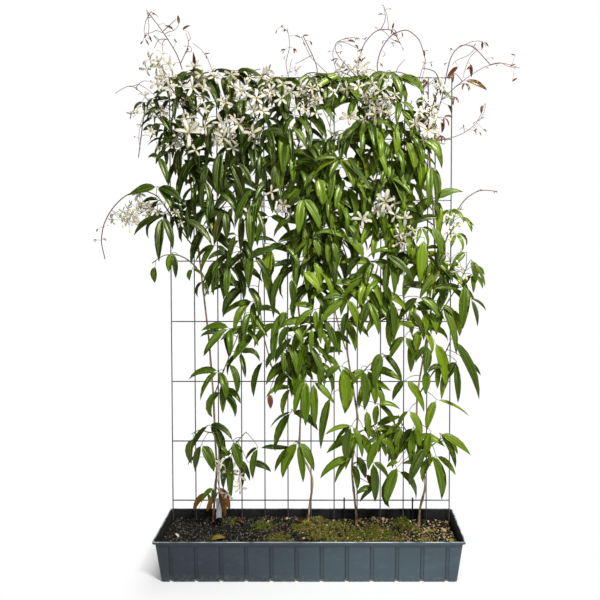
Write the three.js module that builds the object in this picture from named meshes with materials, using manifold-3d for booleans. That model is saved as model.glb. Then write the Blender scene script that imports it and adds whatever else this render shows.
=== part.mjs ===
// Evergreen clematis trained on a welded wire trellis that stands in a long planting trough.
// Millimetres, +Z up, -Y to the front. The origin is the centre of the trough's underside.
//
// Four woody stems stand in holes in the soil and climb the trellis. Leafy shoots and flower sprays are seated on
// them. Leaves hang in threes from a petiole, and each is placed by a rule with seeded draws: a leaf that would
// cross anything placed before it is turned, and is left out if no turn clears it.

import * as THREE from "three";
import { mergeVertices } from "three/addons/utils/BufferGeometryUtils.js";
import Module from "manifold-3d";

const wasm = await Module();
wasm.setup();
const { Manifold, Mesh: SolidMesh } = wasm;

// ---------------------------------------------------------------- driving dimensions

const GAP = 0.3; // between two pieces that rest on each other

const TROUGH = {
  length: 1000, // over the lip
  depth: 208,
  height: 142,
  taper: 16, // how far each wall leans in from lip to base
  wall: 3,
  floor: 4,
  lip: 6, // how far the lip stands out from the wall
  lipHeight: 8,
  grooves: 12, // along each long wall
  groovePitch: 80.6,
  grooveWidth: 6,
  grooveDepth: 2,
};

const TRELLIS = {
  y: 76, // centre plane of the upright wires
  wire: 4,
  columns: 12,
  rows: 7,
  pitchX: 80.6,
  pitchZ: 210,
  top: 1654, // height of the top wire
  foot: 40, // height of the uprights' lower ends, in the soil
  endFoot: 100, // the same for the outermost two, which stand where the trough's end walls lean in
  weld: 0.8, // how far crossing wires sink into each other
};

const SOIL = { level: 122, fall: 22, ripple: 5, columns: 10, rows: 2 };
const STEM = { rootZ: 62, radii: [5.5, 3.2], sides: 4 }; // radii at the root and at the top
const SHOOT = { radii: [2.8, 1.6], twigRadii: [1.6, 1.1], sides: 3, knee: 11, step: 60, twigStep: 36 };
const LEAF = {
  length: 118,
  widthShare: 0.25, // of the length
  outerShare: 0.9, // an outer leaflet's length, as a share of the middle one's
  bend: 0.32, // how far a leaflet turns down along each half of its length
  heart: 1.6, // half thickness where the leaflets meet
  petioleRadius: 1.5,
  fold: 1.27, // least angle between a leaflet and the petiole behind it
  attempts: 30, // turns tried before a leaf is left out
  shrink: 0.008, // how much smaller it gets with each turn
  // What the draws choose between. Angles are in radians, and the first three make the petiole's direction.
  toSide: [0.25, 1],
  toFront: [0.3, 0.9],
  upward: [-0.1, 0.8],
  petiole: [24, 50],
  slant: [-0.35, 1], // of the middle leaflet, out from the shoot
  lean: [0.1, 0.55], // of the middle leaflet, to the front
  size: [0.8, 1.12],
  faceSide: [-0.35, 0.35],
  faceUp: [0.35, 0.75],
  spread: [0.8, 1.15], // between neighbouring leaflets
  droop: [0.1, 0.6], // of an outer leaflet
};
const BLOOM = {
  radius: 29,
  petals: 4,
  petal: [[0, 0.3, 0.04], [0.5, 1, -0.08]], // turn, reach and lift of a petal's notch and of its tip
  heart: 1.8,
  stalkRadii: [2.4, 1.8],
  pedicelRadius: 1.3,
  attempts: 12,
  // What the draws choose between.
  heading: [-1.4, 1.4], // of the pedicel, to either side of straight ahead
  rise: [-0.7, 1],
  pedicel: [26, 54],
  faceUp: [-0.4, 0.3],
  size: [0.85, 1.1],
  turn: [0, Math.PI],
};

// ---------------------------------------------------------------- the plants' routes

// Woody stems, from the root end up. Each point is [x, y, z].
const STEM_ROUTES = {
  stem_1: [[-337, 45, 62], [-337, 45, 128], [-334, 56, 190], [-326, 66, 300], [-331, 66, 372], [-338, 66, 560],
    [-352, 66, 760], [-372, 66, 940], [-392, 66, 1130], [-415, 66, 1330], [-432, 66, 1540]],
  stem_2: [[-10, 45, 62], [-10, 45, 130], [-3, 56, 185], [7, 66, 245], [2, 66, 290], [-22, 66, 328], [-40, 66, 370],
    [-38, 66, 450], [-34, 66, 540], [-22, 66, 700], [-42, 66, 860], [-66, 66, 1040], [-94, 66, 1240],
    [-84, 66, 1440], [-72, 66, 1560]],
  stem_3: [[158, 45, 62], [158, 45, 130], [153, 56, 190], [145, 66, 258], [141, 66, 305], [150, 66, 395],
    [164, 66, 480], [150, 66, 560], [124, 66, 720], [130, 66, 900], [142, 66, 1080], [152, 66, 1230],
    [184, 66, 1400], [196, 66, 1540]],
  stem_4: [[373, 45, 62], [373, 45, 125], [377, 56, 172], [396, 64, 222], [400, 66, 268], [382, 66, 314],
    [366, 66, 400], [368, 66, 560], [390, 66, 700], [410, 66, 820], [430, 66, 980], [424, 66, 1150],
    [410, 66, 1320], [402, 66, 1500]],
};

// Leafy shoots. Each is seated on `on` at height `z` and follows `route`. It bears `leaves` leaves in turn on its
// left and right, up to the share `last` of its length, past which it is a bare tip, and the leaves in `set`, each
// given by where its leaflets meet, where its middle leaflet ends, and how many leaflets it has.
const SHOOTS = {
  shoot_1w: { on: "stem_1", z: 232, route: [[-328, 46, 243], [-322, 38, 250]], leaves: 0, size: 0.62,
    set: [[[-352, 30, 236], [-396, 18, 178], 2], [[-312, 28, 240], [-290, 14, 152], 2]] },
  shoot_1a: { on: "stem_1", z: 318, route: [[-302, 52, 345], [-262, 46, 395], [-222, 42, 440]], leaves: 1, size: 0.6,
    set: [[[-272, 28, 335], [-284, 12, 204], 3], [[-186, 32, 380], [-200, 18, 287], 3],
      [[-262, 22, 412], [-240, 8, 330], 2], [[-380, 12, 366], [-398, 0, 274], 3]] },
  shoot_1c: { on: "stem_1", z: 560, route: [[-318, 52, 600], [-282, 44, 690], [-240, 40, 790], [-212, 38, 890]],
    leaves: 4, size: 0.95 },
  shoot_1e: { on: "stem_1", z: 905, route: [[-345, 50, 950], [-290, 42, 1010], [-230, 38, 1070], [-176, 38, 1110]],
    leaves: 5, size: 1, set: [[[-322, 26, 1094], [-368, 10, 1002], 3], [[-205, 24, 1062], [-203, 8, 942], 3]] },
  shoot_1k: { on: "stem_1", z: 985, route: [[-402, 52, 1020], [-450, 46, 1050], [-502, 42, 1048], [-540, 40, 1018]],
    leaves: 0, size: 0.55, set: [[[-466, 34, 1030], [-472, 26, 972], 2], [[-532, 34, 1006], [-528, 28, 958], 1],
      [[-396, 38, 1002], [-352, 30, 962], 2]] },
  shoot_1f: { on: "stem_1", z: 1060, route: [[-425, 50, 1110], [-478, 44, 1190], [-530, 40, 1262], [-600, 34, 1262],
    [-660, 22, 1210], [-698, 12, 1120], [-682, 6, 1036]], leaves: 2, last: 0.4, size: 1,
    set: [[[-508, 14, 1266], [-600, 4, 1240], 2], [[-498, 26, 1182], [-494, 8, 1036], 3],
      [[-446, 26, 1186], [-346, 10, 1092], 2]] },
  shoot_1g: { on: "stem_1", z: 1120, route: [[-372, 50, 1170], [-330, 42, 1270], [-296, 36, 1370], [-276, 34, 1480],
    [-296, 36, 1580]], leaves: 10, size: 1.05 },
  shoot_1h: { on: "stem_1", z: 1290, route: [[-440, 50, 1340], [-466, 42, 1430], [-468, 40, 1530], [-424, 42, 1630],
    [-455, 44, 1740], [-518, 42, 1832], [-548, 40, 1868]], leaves: 9, last: 0.63, size: 1,
    twigs: [[[-438, 44, 1690], [-402, 42, 1765], [-416, 40, 1792]], [[-472, 44, 1770], [-508, 36, 1775], [-520, 34, 1740]],
      [[-492, 44, 1800], [-448, 40, 1838]]] },
  shoot_1i: { on: "stem_1", z: 1100, route: [[-374, 94, 1122], [-320, 98, 1200], [-250, 100, 1290], [-190, 98, 1400],
    [-180, 98, 1500], [-210, 96, 1590]], leaves: 7, size: 1 },
  shoot_1j: { on: "stem_1", z: 1400, route: [[-462, 50, 1440], [-508, 44, 1510], [-552, 40, 1580], [-600, 36, 1622],
    [-652, 32, 1590]], leaves: 6, last: 0.66, size: 0.95, twigs: [[[-508, 44, 1510], [-536, 38, 1542], [-560, 34, 1516],
      [-566, 30, 1440], [-575, 28, 1375]]] },
  shoot_2a: { on: "stem_2", z: 388, route: [[-46, 50, 400], [-48, 40, 410]], leaves: 0, size: 1,
    set: [[[-62, 26, 402], [-100, 10, 276], 3], [[-20, 26, 402], [6, 10, 308], 2]] },
  shoot_2b: { on: "stem_2", z: 486, route: [[-52, 50, 505], [-64, 42, 520]], leaves: 0, size: 0.9,
    set: [[[-84, 22, 512], [-120, 6, 394], 3], [[-24, 18, 540], [-6, 4, 440], 2]] },
  shoot_2c: { on: "stem_2", z: 560, route: [[-52, 52, 620], [-84, 46, 720], [-92, 44, 830]], leaves: 5, size: 0.95 },
  shoot_2d: { on: "stem_2", z: 610, route: [[-2, 50, 670], [22, 42, 780], [46, 38, 890]], leaves: 7, size: 1 },
  shoot_2e: { on: "stem_2", z: 880, route: [[-30, 50, 940], [6, 42, 1040], [18, 36, 1150], [6, 36, 1260]], leaves: 8,
    size: 1.05 },
  shoot_2f: { on: "stem_2", z: 1150, route: [[-128, 50, 1210], [-164, 42, 1310], [-178, 38, 1420], [-150, 38, 1530],
    [-120, 38, 1610]], leaves: 9, size: 1.05 },
  shoot_2g: { on: "stem_2", z: 1290, route: [[-64, 50, 1350], [-30, 42, 1450], [-40, 40, 1560], [-84, 40, 1680],
    [-60, 38, 1770], [-76, 36, 1806]], leaves: 9, last: 0.62, size: 1,
    twigs: [[[-40, 40, 1560], [24, 38, 1640], [12, 38, 1715], [-24, 36, 1782]]] },
  shoot_3a: { on: "stem_3", z: 318, route: [[152, 50, 330], [160, 38, 338]], leaves: 0, size: 0.95,
    set: [[[140, 26, 338], [86, 8, 262], 3], [[214, 26, 328], [222, 8, 206], 3]] },
  shoot_3b: { on: "stem_3", z: 428, route: [[168, 50, 440], [200, 42, 452], [236, 38, 478]], leaves: 1, size: 0.8,
    set: [[[146, 26, 450], [128, 8, 336], 3], [[244, 22, 424], [206, 6, 338], 3], [[262, 24, 504], [268, 8, 428], 3],
      [[298, 28, 312], [266, 12, 178], 2]] },
  shoot_3d: { on: "stem_3", z: 600, route: [[176, 52, 640], [220, 46, 690], [268, 42, 706]], leaves: 2, size: 1,
    set: [[[242, 22, 690], [214, 4, 600], 3], [[68, 26, 566], [36, 8, 398], 2], [[114, 24, 648], [110, 0, 500], 3]] },
  shoot_3e: { on: "stem_3", z: 720, route: [[104, 50, 780], [78, 44, 870], [70, 44, 970]], leaves: 7, size: 1 },
  shoot_3f: { on: "stem_3", z: 820, route: [[168, 50, 870], [214, 44, 950], [238, 42, 1050]], leaves: 7, size: 1 },
  shoot_3g: { on: "stem_3", z: 1010, route: [[112, 50, 1070], [84, 42, 1160], [72, 36, 1270], [84, 36, 1380],
    [66, 38, 1480]], leaves: 10, size: 1.1 },
  shoot_3h: { on: "stem_3", z: 1140, route: [[186, 50, 1200], [222, 42, 1290], [232, 38, 1390], [206, 38, 1500],
    [160, 40, 1640], [176, 40, 1750], [236, 38, 1812], [282, 34, 1798], [302, 30, 1752]], leaves: 10, last: 0.5,
    size: 1.05, twigs: [[[160, 40, 1640], [80, 40, 1735], [92, 38, 1768], [150, 36, 1776]],
      [[236, 38, 1812], [258, 38, 1848], [246, 36, 1876]]] },
  shoot_3i: { on: "stem_3", z: 1060, route: [[112, 94, 1085], [60, 98, 1160], [20, 98, 1250], [-20, 96, 1340],
    [10, 96, 1430]], leaves: 6, size: 1 },
  shoot_4a: { on: "stem_4", z: 350, route: [[384, 50, 372], [420, 42, 392], [446, 38, 420]], leaves: 0, size: 1,
    set: [[[398, 22, 390], [348, 4, 300], 2], [[426, 22, 366], [453, 2, 208], 3], [[462, 26, 422], [548, 12, 362], 3],
      [[440, 16, 486], [428, 4, 396], 2]] },
  shoot_4b: { on: "stem_4", z: 390, route: [[346, 50, 420], [322, 44, 450], [300, 42, 500]], leaves: 4, size: 0.85 },
  shoot_4c: { on: "stem_4", z: 560, route: [[396, 50, 610], [446, 44, 680], [476, 42, 750]], leaves: 4, size: 1,
    set: [[[492, 24, 742], [566, 4, 580], 1], [[482, 22, 690], [497, 4, 550], 1], [[440, 20, 728], [464, 0, 594], 2]] },
  shoot_4d: { on: "stem_4", z: 690, route: [[360, 50, 745], [330, 44, 820], [316, 42, 910]], leaves: 6, size: 1,
    set: [[[318, 24, 774], [278, 8, 700], 2]] },
  shoot_4e: { on: "stem_4", z: 800, route: [[446, 50, 850], [494, 44, 930], [528, 42, 1000]], leaves: 6, size: 1,
    set: [[[540, 24, 936], [526, 6, 812], 3], [[552, 20, 1012], [580, 8, 940], 2], [[478, 24, 1004], [456, 6, 900], 3]] },
  shoot_4f: { on: "stem_4", z: 960, route: [[392, 50, 1010], [352, 44, 1080], [330, 42, 1170]], leaves: 7, size: 1 },
  shoot_4g: { on: "stem_4", z: 1040, route: [[456, 50, 1080], [476, 44, 1150], [512, 40, 1226], [566, 34, 1268],
    [628, 28, 1262]], leaves: 5, last: 0.5, size: 1 },
  shoot_4h: { on: "stem_4", z: 1200, route: [[378, 50, 1262], [330, 42, 1350], [280, 38, 1450], [250, 40, 1590],
    [222, 42, 1690], [262, 40, 1778], [322, 36, 1806], [366, 34, 1770], [382, 30, 1712]], leaves: 10, last: 0.5,
    size: 1.1 },
  shoot_4i: { on: "stem_4", z: 1290, route: [[424, 50, 1340], [420, 42, 1430], [424, 42, 1540], [484, 42, 1612],
    [552, 40, 1664], [628, 34, 1694], [698, 26, 1672]], leaves: 9, last: 0.7, size: 1.05,
    twigs: [[[422, 42, 1500], [364, 40, 1620], [388, 38, 1706]], [[440, 42, 1570], [472, 42, 1715], [530, 38, 1757],
      [600, 34, 1688]], [[420, 42, 1430], [500, 36, 1450], [560, 32, 1492], [584, 30, 1556]]] },
  shoot_4j: { on: "stem_4", z: 1150, route: [[388, 94, 1172], [336, 98, 1260], [300, 98, 1370], [320, 98, 1480],
    [350, 96, 1580]], leaves: 6, size: 1 },
};

// Flower sprays: what carries each, the height of its seat, where its stalk ends, and its blooms.
const SPRAYS = {
  spray_01: { on: "shoot_1h", z: 1600, tip: [-506, 10, 1690], blooms: 8 },
  spray_02: { on: "stem_1", z: 1520, tip: [-352, 14, 1650], blooms: 8 },
  spray_03: { on: "stem_1", z: 1405, tip: [-392, -12, 1480], blooms: 7 },
  spray_04: { on: "shoot_1g", z: 1400, tip: [-262, -26, 1476], blooms: 8 },
  spray_05: { on: "shoot_1i", z: 1530, tip: [-232, 26, 1620], blooms: 8 },
  spray_06: { on: "stem_2", z: 1545, tip: [-136, 12, 1620], blooms: 8 },
  spray_07: { on: "shoot_2g", z: 1500, tip: [-8, -10, 1570], blooms: 7 },
  spray_08: { on: "stem_3", z: 1525, tip: [148, 4, 1660], blooms: 9 },
  spray_09: { on: "shoot_3h", z: 1470, tip: [250, -18, 1590], blooms: 9 },
  spray_10: { on: "shoot_4i", z: 1420, tip: [366, -14, 1520], blooms: 8 },
  spray_11: { on: "shoot_1f", z: 1235, tip: [-606, -4, 1190], blooms: 8 },
  spray_12: { on: "shoot_3h", z: 1250, tip: [266, -18, 1180], blooms: 5 },
  spray_13: { on: "shoot_4g", z: 1110, tip: [478, -14, 1150], blooms: 5 },
  spray_14: { on: "shoot_1a", z: 350, tip: [-262, -4, 300], blooms: 4 },
};

// ---------------------------------------------------------------- vectors, draws and curves

const vec = (x, y, z) => new THREE.Vector3(x, y, z);
const mix = (a, b, t) => a + (b - a) * t;
const unit = (v) => v.clone().normalize();
const UP = vec(0, 0, 1);
const TUBE_REFERENCE = vec(0.2, 1, 0.35).normalize(); // never parallel to a stem

// A draw between 0 and 1 that depends only on its three numbers.
function draw(item, attempt, k) {
  const wave = Math.sin(item * 12.9898 + attempt * 78.233 + k * 37.719) * 43758.5453;
  return wave - Math.floor(wave);
}

const curveThrough = (points) => new THREE.CatmullRomCurve3(points, false, "catmullrom", 0.5);

// The part of a vector that is square to a unit direction, as a unit vector.
const squareTo = (v, direction) => v.clone().addScaledVector(direction, -v.dot(direction)).normalize();

// ---------------------------------------------------------------- solids

// Triangles between two rings that start at the same angle. Each is [first index, number of points].
function stitch(faces, [a, n], [b, m]) {
  let [i, j] = [0, 0];
  while (i < n || j < m) {
    if (j === m || (i < n && (i + 1) / n <= (j + 1) / m)) {
      if (n > 1) faces.push(a + i, a + ((i + 1) % n), b + (j % m));
      i += 1;
    } else {
      if (m > 1) faces.push(a + (i % n), b + ((j + 1) % m), b + j);
      j += 1;
    }
  }
}

// A closed surface through rings of points. A ring of one point is a pole, and an end ring is capped.
function loft(rings) {
  const points = [];
  const faces = [];
  const spans = rings.map((ring) => [points.push(...ring) - ring.length, ring.length]);
  for (let r = 0; r + 1 < rings.length; r++) stitch(faces, spans[r], spans[r + 1]);
  for (const [a, b, c] of capOf(rings[0])) faces.push(a, c, b);
  const last = spans.at(-1)[0];
  for (const [a, b, c] of capOf(rings.at(-1))) faces.push(last + a, last + b, last + c);
  return new THREE.BufferGeometry().setFromPoints(points).setIndex(faces);
}

// Triangles that fill a ring: a fan if it is short, and three's polygon triangulation in XY if it is an outline.
function capOf(ring) {
  if (ring.length <= 6) return ring.slice(2).map((_, i) => [0, i + 1, i + 2]);
  return THREE.ShapeUtils.triangulateShape(ring.map((p) => new THREE.Vector2(p.x, p.y)), []);
}

// A closed three.js geometry as a solid, turned the right way out.
function solidOf(geometry) {
  const bare = new THREE.BufferGeometry().setAttribute("position", geometry.getAttribute("position"));
  if (geometry.index) bare.setIndex(geometry.index);
  const merged = mergeVertices(bare, 1e-4);
  const vertProperties = new Float32Array(merged.attributes.position.array);
  const triVerts = new Uint32Array(merged.index.array);
  const made = new Manifold(new SolidMesh({ numProp: 3, vertProperties, triVerts }));
  if (made.volume() > 0) return made;
  for (let i = 0; i < triVerts.length; i += 3)
    [triVerts[i + 1], triVerts[i + 2]] = [triVerts[i + 2], triVerts[i + 1]];
  return new Manifold(new SolidMesh({ numProp: 3, vertProperties, triVerts }));
}

const loftSolid = (rings) => solidOf(loft(rings));

// A box between two corners.
function boxSolid(low, high) {
  const size = high.map((v, i) => v - low[i]);
  const box = new THREE.BoxGeometry(...size);
  return solidOf(box.translate(...low.map((v, i) => v + size[i] / 2)));
}

// A regular polygon round a centre, square to a direction.
function ringRound(centre, direction, radius, sides) {
  const across = vec().crossVectors(direction, TUBE_REFERENCE).normalize();
  const over = vec().crossVectors(across, direction).normalize();
  return Array.from({ length: sides }, (_, i) => {
    const angle = (2 * Math.PI * (i + 0.5)) / sides;
    return centre.clone().addScaledVector(across, radius * Math.cos(angle))
      .addScaledVector(over, radius * Math.sin(angle));
  });
}

// ---------------------------------------------------------------- trough

// Half the trough's outer length and depth at a height, for the wall or, with `inset`, for its inside.
function troughHalf(z, inset = 0) {
  const lean = TROUGH.taper * (1 - z / TROUGH.height);
  return [TROUGH.length / 2 - TROUGH.lip - lean - inset, TROUGH.depth / 2 - TROUGH.lip - lean - inset];
}

// The wall's outline at a height, with a shallow upright groove at each pitch of the long walls.
function groovedOutline(z) {
  const [hx, hy] = troughHalf(z);
  const front = [[-hx, -hy]];
  for (let g = 0; g < TROUGH.grooves; g++) {
    const x = (g - (TROUGH.grooves - 1) / 2) * TROUGH.groovePitch;
    front.push([x - TROUGH.grooveWidth / 2, -hy], [x, -hy + TROUGH.grooveDepth], [x + TROUGH.grooveWidth / 2, -hy]);
  }
  front.push([hx, -hy]);
  const back = front.map(([x, y]) => [-x, -y]);
  return [...front, ...back].map(([x, y]) => vec(x, y, z));
}

// A rectangle at a height, from its half sizes.
const rectangle = ([hx, hy], z) => [[-hx, -hy], [hx, -hy], [hx, hy], [-hx, hy]].map(([x, y]) => vec(x, y, z));

function troughSolid() {
  const { length, depth, height, wall, floor, lipHeight } = TROUGH;
  const shell = loftSolid([groovedOutline(0), groovedOutline(height - lipHeight / 2)]);
  const lip = loftSolid([height - lipHeight, height].map((z) => rectangle([length / 2, depth / 2], z)));
  const inside = loftSolid([floor, height + 1].map((z) => rectangle(troughHalf(z, wall), z)));
  return shell.add(lip).subtract(inside);
}

// ---------------------------------------------------------------- trellis, its clips and the plant label

const wireX = (column) => (column - TRELLIS.columns / 2) * TRELLIS.pitchX;
const wireZ = (row) => TRELLIS.top - row * TRELLIS.pitchZ;
const CROSS_Y = TRELLIS.y + TRELLIS.wire - TRELLIS.weld; // centre of the level wires, behind the uprights

// A straight wire between two points. Its square section stands on edge, so that wires cross edge to edge.
function wireSolid(from, to) {
  const along = to.clone().sub(from).normalize();
  const side = vec().crossVectors(along, vec(0, 1, 0));
  const corners = [side, vec(0, 1, 0), side.clone().negate(), vec(0, -1, 0)];
  return loftSolid([from, to].map((end) => corners.map((c) => end.clone().addScaledVector(c, TRELLIS.wire / 2))));
}

function trellisWires() {
  const { wire, columns, rows, y, top, foot, endFoot } = TRELLIS;
  const end = wireX(columns) + wire / 2;
  const uprights = Array.from({ length: columns + 1 }, (_, i) => {
    const low = i === 0 || i === columns ? endFoot : foot;
    return wireSolid(vec(wireX(i), y, low), vec(wireX(i), y, top + wire / 2));
  });
  const levels = Array.from({ length: rows + 1 }, (_, i) =>
    wireSolid(vec(-end, CROSS_Y, wireZ(i)), vec(end, CROSS_Y, wireZ(i))));
  return [...uprights, ...levels];
}

// A clip is a strip that stands in the soil behind the lowest wire and hooks over it.
const CLIP = { xs: [-342, 116, 356], width: 5, thickness: 4, foot: 60, hook: 5 };

function clipSolid(x) {
  const wireTop = wireZ(TRELLIS.rows) + TRELLIS.wire / 2 + GAP;
  const back = CROSS_Y + TRELLIS.wire / 2 + GAP;
  const front = CROSS_Y - TRELLIS.wire / 2 - GAP;
  const [left, right] = [x - CLIP.width / 2, x + CLIP.width / 2];
  const post = boxSolid([left, back, CLIP.foot], [right, back + CLIP.thickness, wireTop + CLIP.thickness]);
  const over = boxSolid([left, front - 2, wireTop], [right, back + 1, wireTop + CLIP.thickness]);
  const nose = boxSolid([left, front - 2, wireTop - CLIP.hook], [right, front, wireTop + 1]);
  return post.add(over).add(nose);
}

const LABEL = { x: -322, y: 70, width: 19, thickness: 1.2, foot: 78, top: 196, point: 18 };

function labelSolid(grow = 0) {
  const { x, y, width, thickness, foot, top, point } = LABEL;
  const half = width / 2 + grow;
  const outline = new THREE.Shape([[0, foot - grow], [half, foot + point], [half, top], [-half, top],
    [-half, foot + point]].map(([u, v]) => new THREE.Vector2(u, v)));
  const plate = new THREE.ExtrudeGeometry(outline, { depth: thickness + 2 * grow, bevelEnabled: false });
  return solidOf(plate.rotateX(Math.PI / 2).translate(x, y + grow, 0));
}

// ---------------------------------------------------------------- soil

// The soil's height: it falls to the right-hand end and is gently uneven.
function soilHeight(x, y) {
  const fall = SOIL.fall * Math.max(0, x / TROUGH.length + 0.2) ** 1.5;
  const ripple = Math.sin(x / 47 + y / 31) + Math.sin(x / 83 - y / 23 + 1);
  return SOIL.level - fall + 0.5 * SOIL.ripple * ripple;
}

// The soil fills the trough up to soilHeight, with plain holes for what stands in it.
function soilSolid(holes) {
  const { columns, rows } = SOIL;
  const floorZ = TROUGH.floor + GAP;
  const inset = TROUGH.wall + GAP;
  const point = (i, j, low) => {
    const [u, v] = [(2 * i) / columns - 1, (2 * j) / rows - 1];
    const [rx, ry] = troughHalf(SOIL.level, inset);
    const z = low ? floorZ : soilHeight(u * rx, v * ry);
    const [hx, hy] = troughHalf(z, inset);
    return vec(u * hx, v * hy, z);
  };
  const points = [];
  const faces = [];
  const number = (i, j, low) => (low ? (columns + 1) * (rows + 1) : 0) + j * (columns + 1) + i;
  for (const low of [false, true])
    for (let j = 0; j <= rows; j++) for (let i = 0; i <= columns; i++) points.push(point(i, j, low));
  const quad = (a, b, c, d) => faces.push(a, b, c, a, c, d);
  for (let j = 0; j < rows; j++)
    for (let i = 0; i < columns; i++)
      quad(number(i, j), number(i + 1, j), number(i + 1, j + 1), number(i, j + 1));
  for (let i = 0; i < columns; i++) {
    quad(number(i, 0, true), number(i + 1, 0, true), number(i + 1, 0), number(i, 0));
    quad(number(i + 1, rows, true), number(i, rows, true), number(i, rows), number(i + 1, rows));
  }
  for (let j = 0; j < rows; j++) {
    quad(number(0, j + 1, true), number(0, j, true), number(0, j), number(0, j + 1));
    quad(number(columns, j, true), number(columns, j + 1, true), number(columns, j + 1), number(columns, j));
  }
  const middle = points.push(vec(0, 0, floorZ)) - 1;
  const edge = [];
  for (let i = 0; i < columns; i++) edge.push(number(i, 0, true));
  for (let j = 0; j < rows; j++) edge.push(number(columns, j, true));
  for (let i = columns; i > 0; i--) edge.push(number(i, rows, true));
  for (let j = rows; j > 0; j--) edge.push(number(0, j, true));
  edge.forEach((a, k) => faces.push(middle, edge[(k + 1) % edge.length], a));
  const used = [...new Set(faces)];
  const renumber = new Map(used.map((old, k) => [old, k]));
  const block = new THREE.BufferGeometry().setFromPoints(used.map((k) => points[k]));
  block.setIndex(faces.map((k) => renumber.get(k)));
  return solidOf(block).subtract(Manifold.union(holes));
}

// ---------------------------------------------------------------- stems and shoots

// A branch is a chain of straight lengths with a ring at each joint. The joints are the points of a curve at the
// given parameters.
function branch(curve, parameters, [radiusBase, radiusTop], sides) {
  const steps = parameters.length - 1;
  const rings = parameters.map((t, i) =>
    ringRound(curve.getPoint(t), curve.getTangent(t), mix(radiusBase, radiusTop, i / steps), sides));
  return { rings, centres: parameters.map((t) => curve.getPoint(t)), solid: loftSolid(rings) };
}

// A woody stem has a joint at each point of its route.
function stemBranch(route) {
  const curve = curveThrough(route.map((p) => vec(...p)));
  return branch(curve, route.map((_, i) => i / (route.length - 1)), STEM.radii, STEM.sides);
}

// A green branch is seated on its carrier and has joints at even steps.
function greenBranch(carrier, z, route, radii) {
  const points = route.map((p) => vec(...p));
  const curve = curveThrough([...seatOn(carrier, z, points[0]), ...points]);
  const steps = Math.max(3, Math.round(curve.getLength() / SHOOT.step));
  return branch(curve, Array.from({ length: steps + 1 }, (_, i) => curve.getUtoTmapping(i / steps)), radii, SHOOT.sides);
}

// The point at a share of a branch's length, and the branch's ring there.
function branchAt({ centres, rings }, share) {
  const steps = centres.length - 1;
  const i = Math.min(Math.floor(share * steps), steps - 1);
  const t = share * steps - i;
  const between = (a, b) => a.clone().lerp(b, t);
  const along = centres[i + 1].clone().sub(centres[i]).normalize();
  return { centre: between(centres[i], centres[i + 1]), along, ring: rings[i].map((p, k) => between(p, rings[i + 1][k])) };
}

// The share of a branch's length that fits a test best, such as nearest a height or a point.
function shareWhere({ centres }, miss) {
  const steps = (centres.length - 1) * 40;
  let [best, least] = [0, Infinity];
  for (let i = 0; i <= steps; i++) {
    const value = miss(branchAt({ centres, rings: centres.map(() => []) }, i / steps).centre);
    if (value < least) [best, least] = [i / steps, value];
  }
  return best;
}

// Where a new branch starts: square off its carrier's surface at a height, on the side of its next point, and a
// knee a little way out, from which it runs on.
function seatOn(carrier, z, next) {
  const { centre, along, ring } = branchAt(carrier, shareWhere(carrier, (p) => Math.abs(p.z - z)));
  const out = squareTo(next.clone().sub(centre), along);
  const surface = Math.max(...ring.map((p) => p.clone().sub(centre).dot(out)));
  return [surface + GAP, SHOOT.knee].map((reach) => centre.clone().addScaledVector(out, reach));
}

const branches = {};
for (const [name, route] of Object.entries(STEM_ROUTES)) branches[name] = stemBranch(route);
for (const [name, { on, z, route }] of Object.entries(SHOOTS))
  branches[name] = greenBranch(branches[on], z, route, SHOOT.radii);

// A twig starts inside its shoot, at the point of it nearest the first point given.
function twigSolid(shoot, route) {
  const points = route.map((p) => vec(...p));
  points[0] = branchAt(shoot, shareWhere(shoot, (p) => p.distanceTo(points[0]))).centre;
  const curve = curveThrough(points);
  const steps = Math.max(2, Math.round(curve.getLength() / SHOOT.twigStep));
  return branch(curve, Array.from({ length: steps + 1 }, (_, i) => curve.getUtoTmapping(i / steps)), SHOOT.twigRadii,
    SHOOT.sides).solid;
}

// ---------------------------------------------------------------- leaves

// A leaflet given by the straight line from its foot to its tip: the midline bends evenly down about that line.
function leafletAlong(chord, length, face, middle) {
  const heading = Math.hypot(chord.x, chord.y) > 1e-3 ? Math.atan2(chord.y, chord.x) : Math.atan2(face.y, face.x);
  const pitch = Math.asin(chord.z / chord.length());
  return { heading, pitch, length, middle, across: vec().crossVectors(face, chord).normalize() };
}

// The point of a leaflet's midline at a share of its length, measured from its foot, and the way across there.
function leafletAt({ heading, pitch, length, across }, s) {
  const { bend } = LEAF;
  const now = pitch + bend * (1 - 2 * s);
  const out = (length * (Math.sin(pitch + bend) - Math.sin(now))) / (2 * bend);
  const rise = (length * (Math.cos(now) - Math.cos(pitch + bend))) / (2 * bend);
  const along = vec(Math.cos(heading) * Math.cos(now), Math.sin(heading) * Math.cos(now), Math.sin(now));
  const centre = vec(Math.cos(heading) * out, Math.sin(heading) * out, rise);
  return { centre, along, across: squareTo(across, along) };
}

// A leaf gets a little smaller with each turn that it takes to find room.
const shrink = (attempt) => 1 - LEAF.shrink * attempt;

// A leaf that hangs by rule: its draws give the way its petiole runs, its leaflets' length and how they hang.
function drawnLeaf(number, attempt, side, toBack, size) {
  const d = (k, range) => mix(...range, draw(number, attempt, k));
  const front = toBack ? -1 : 1;
  const hub = vec(side * d(0, LEAF.toSide), -front * d(1, LEAF.toFront), d(2, LEAF.upward));
  hub.setLength(d(3, LEAF.petiole) * size);
  const slant = side * d(4, LEAF.slant);
  const chord = vec(Math.sin(slant), -front * d(5, LEAF.lean), -Math.cos(slant));
  return { hub, chord, length: LEAF.length * size * d(6, LEAF.size) * shrink(attempt), front, leaflets: 3 };
}

// A leaf that is set by hand, as the same kind of record.
function setLeaf(root, [hub, tip, leaflets], attempt) {
  const chord = vec(...tip).sub(vec(...hub));
  const length = (chord.length() * LEAF.bend) / Math.sin(LEAF.bend);
  return { hub: vec(...hub).sub(root), chord, length: length * shrink(attempt), front: 1, leaflets };
}

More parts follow.
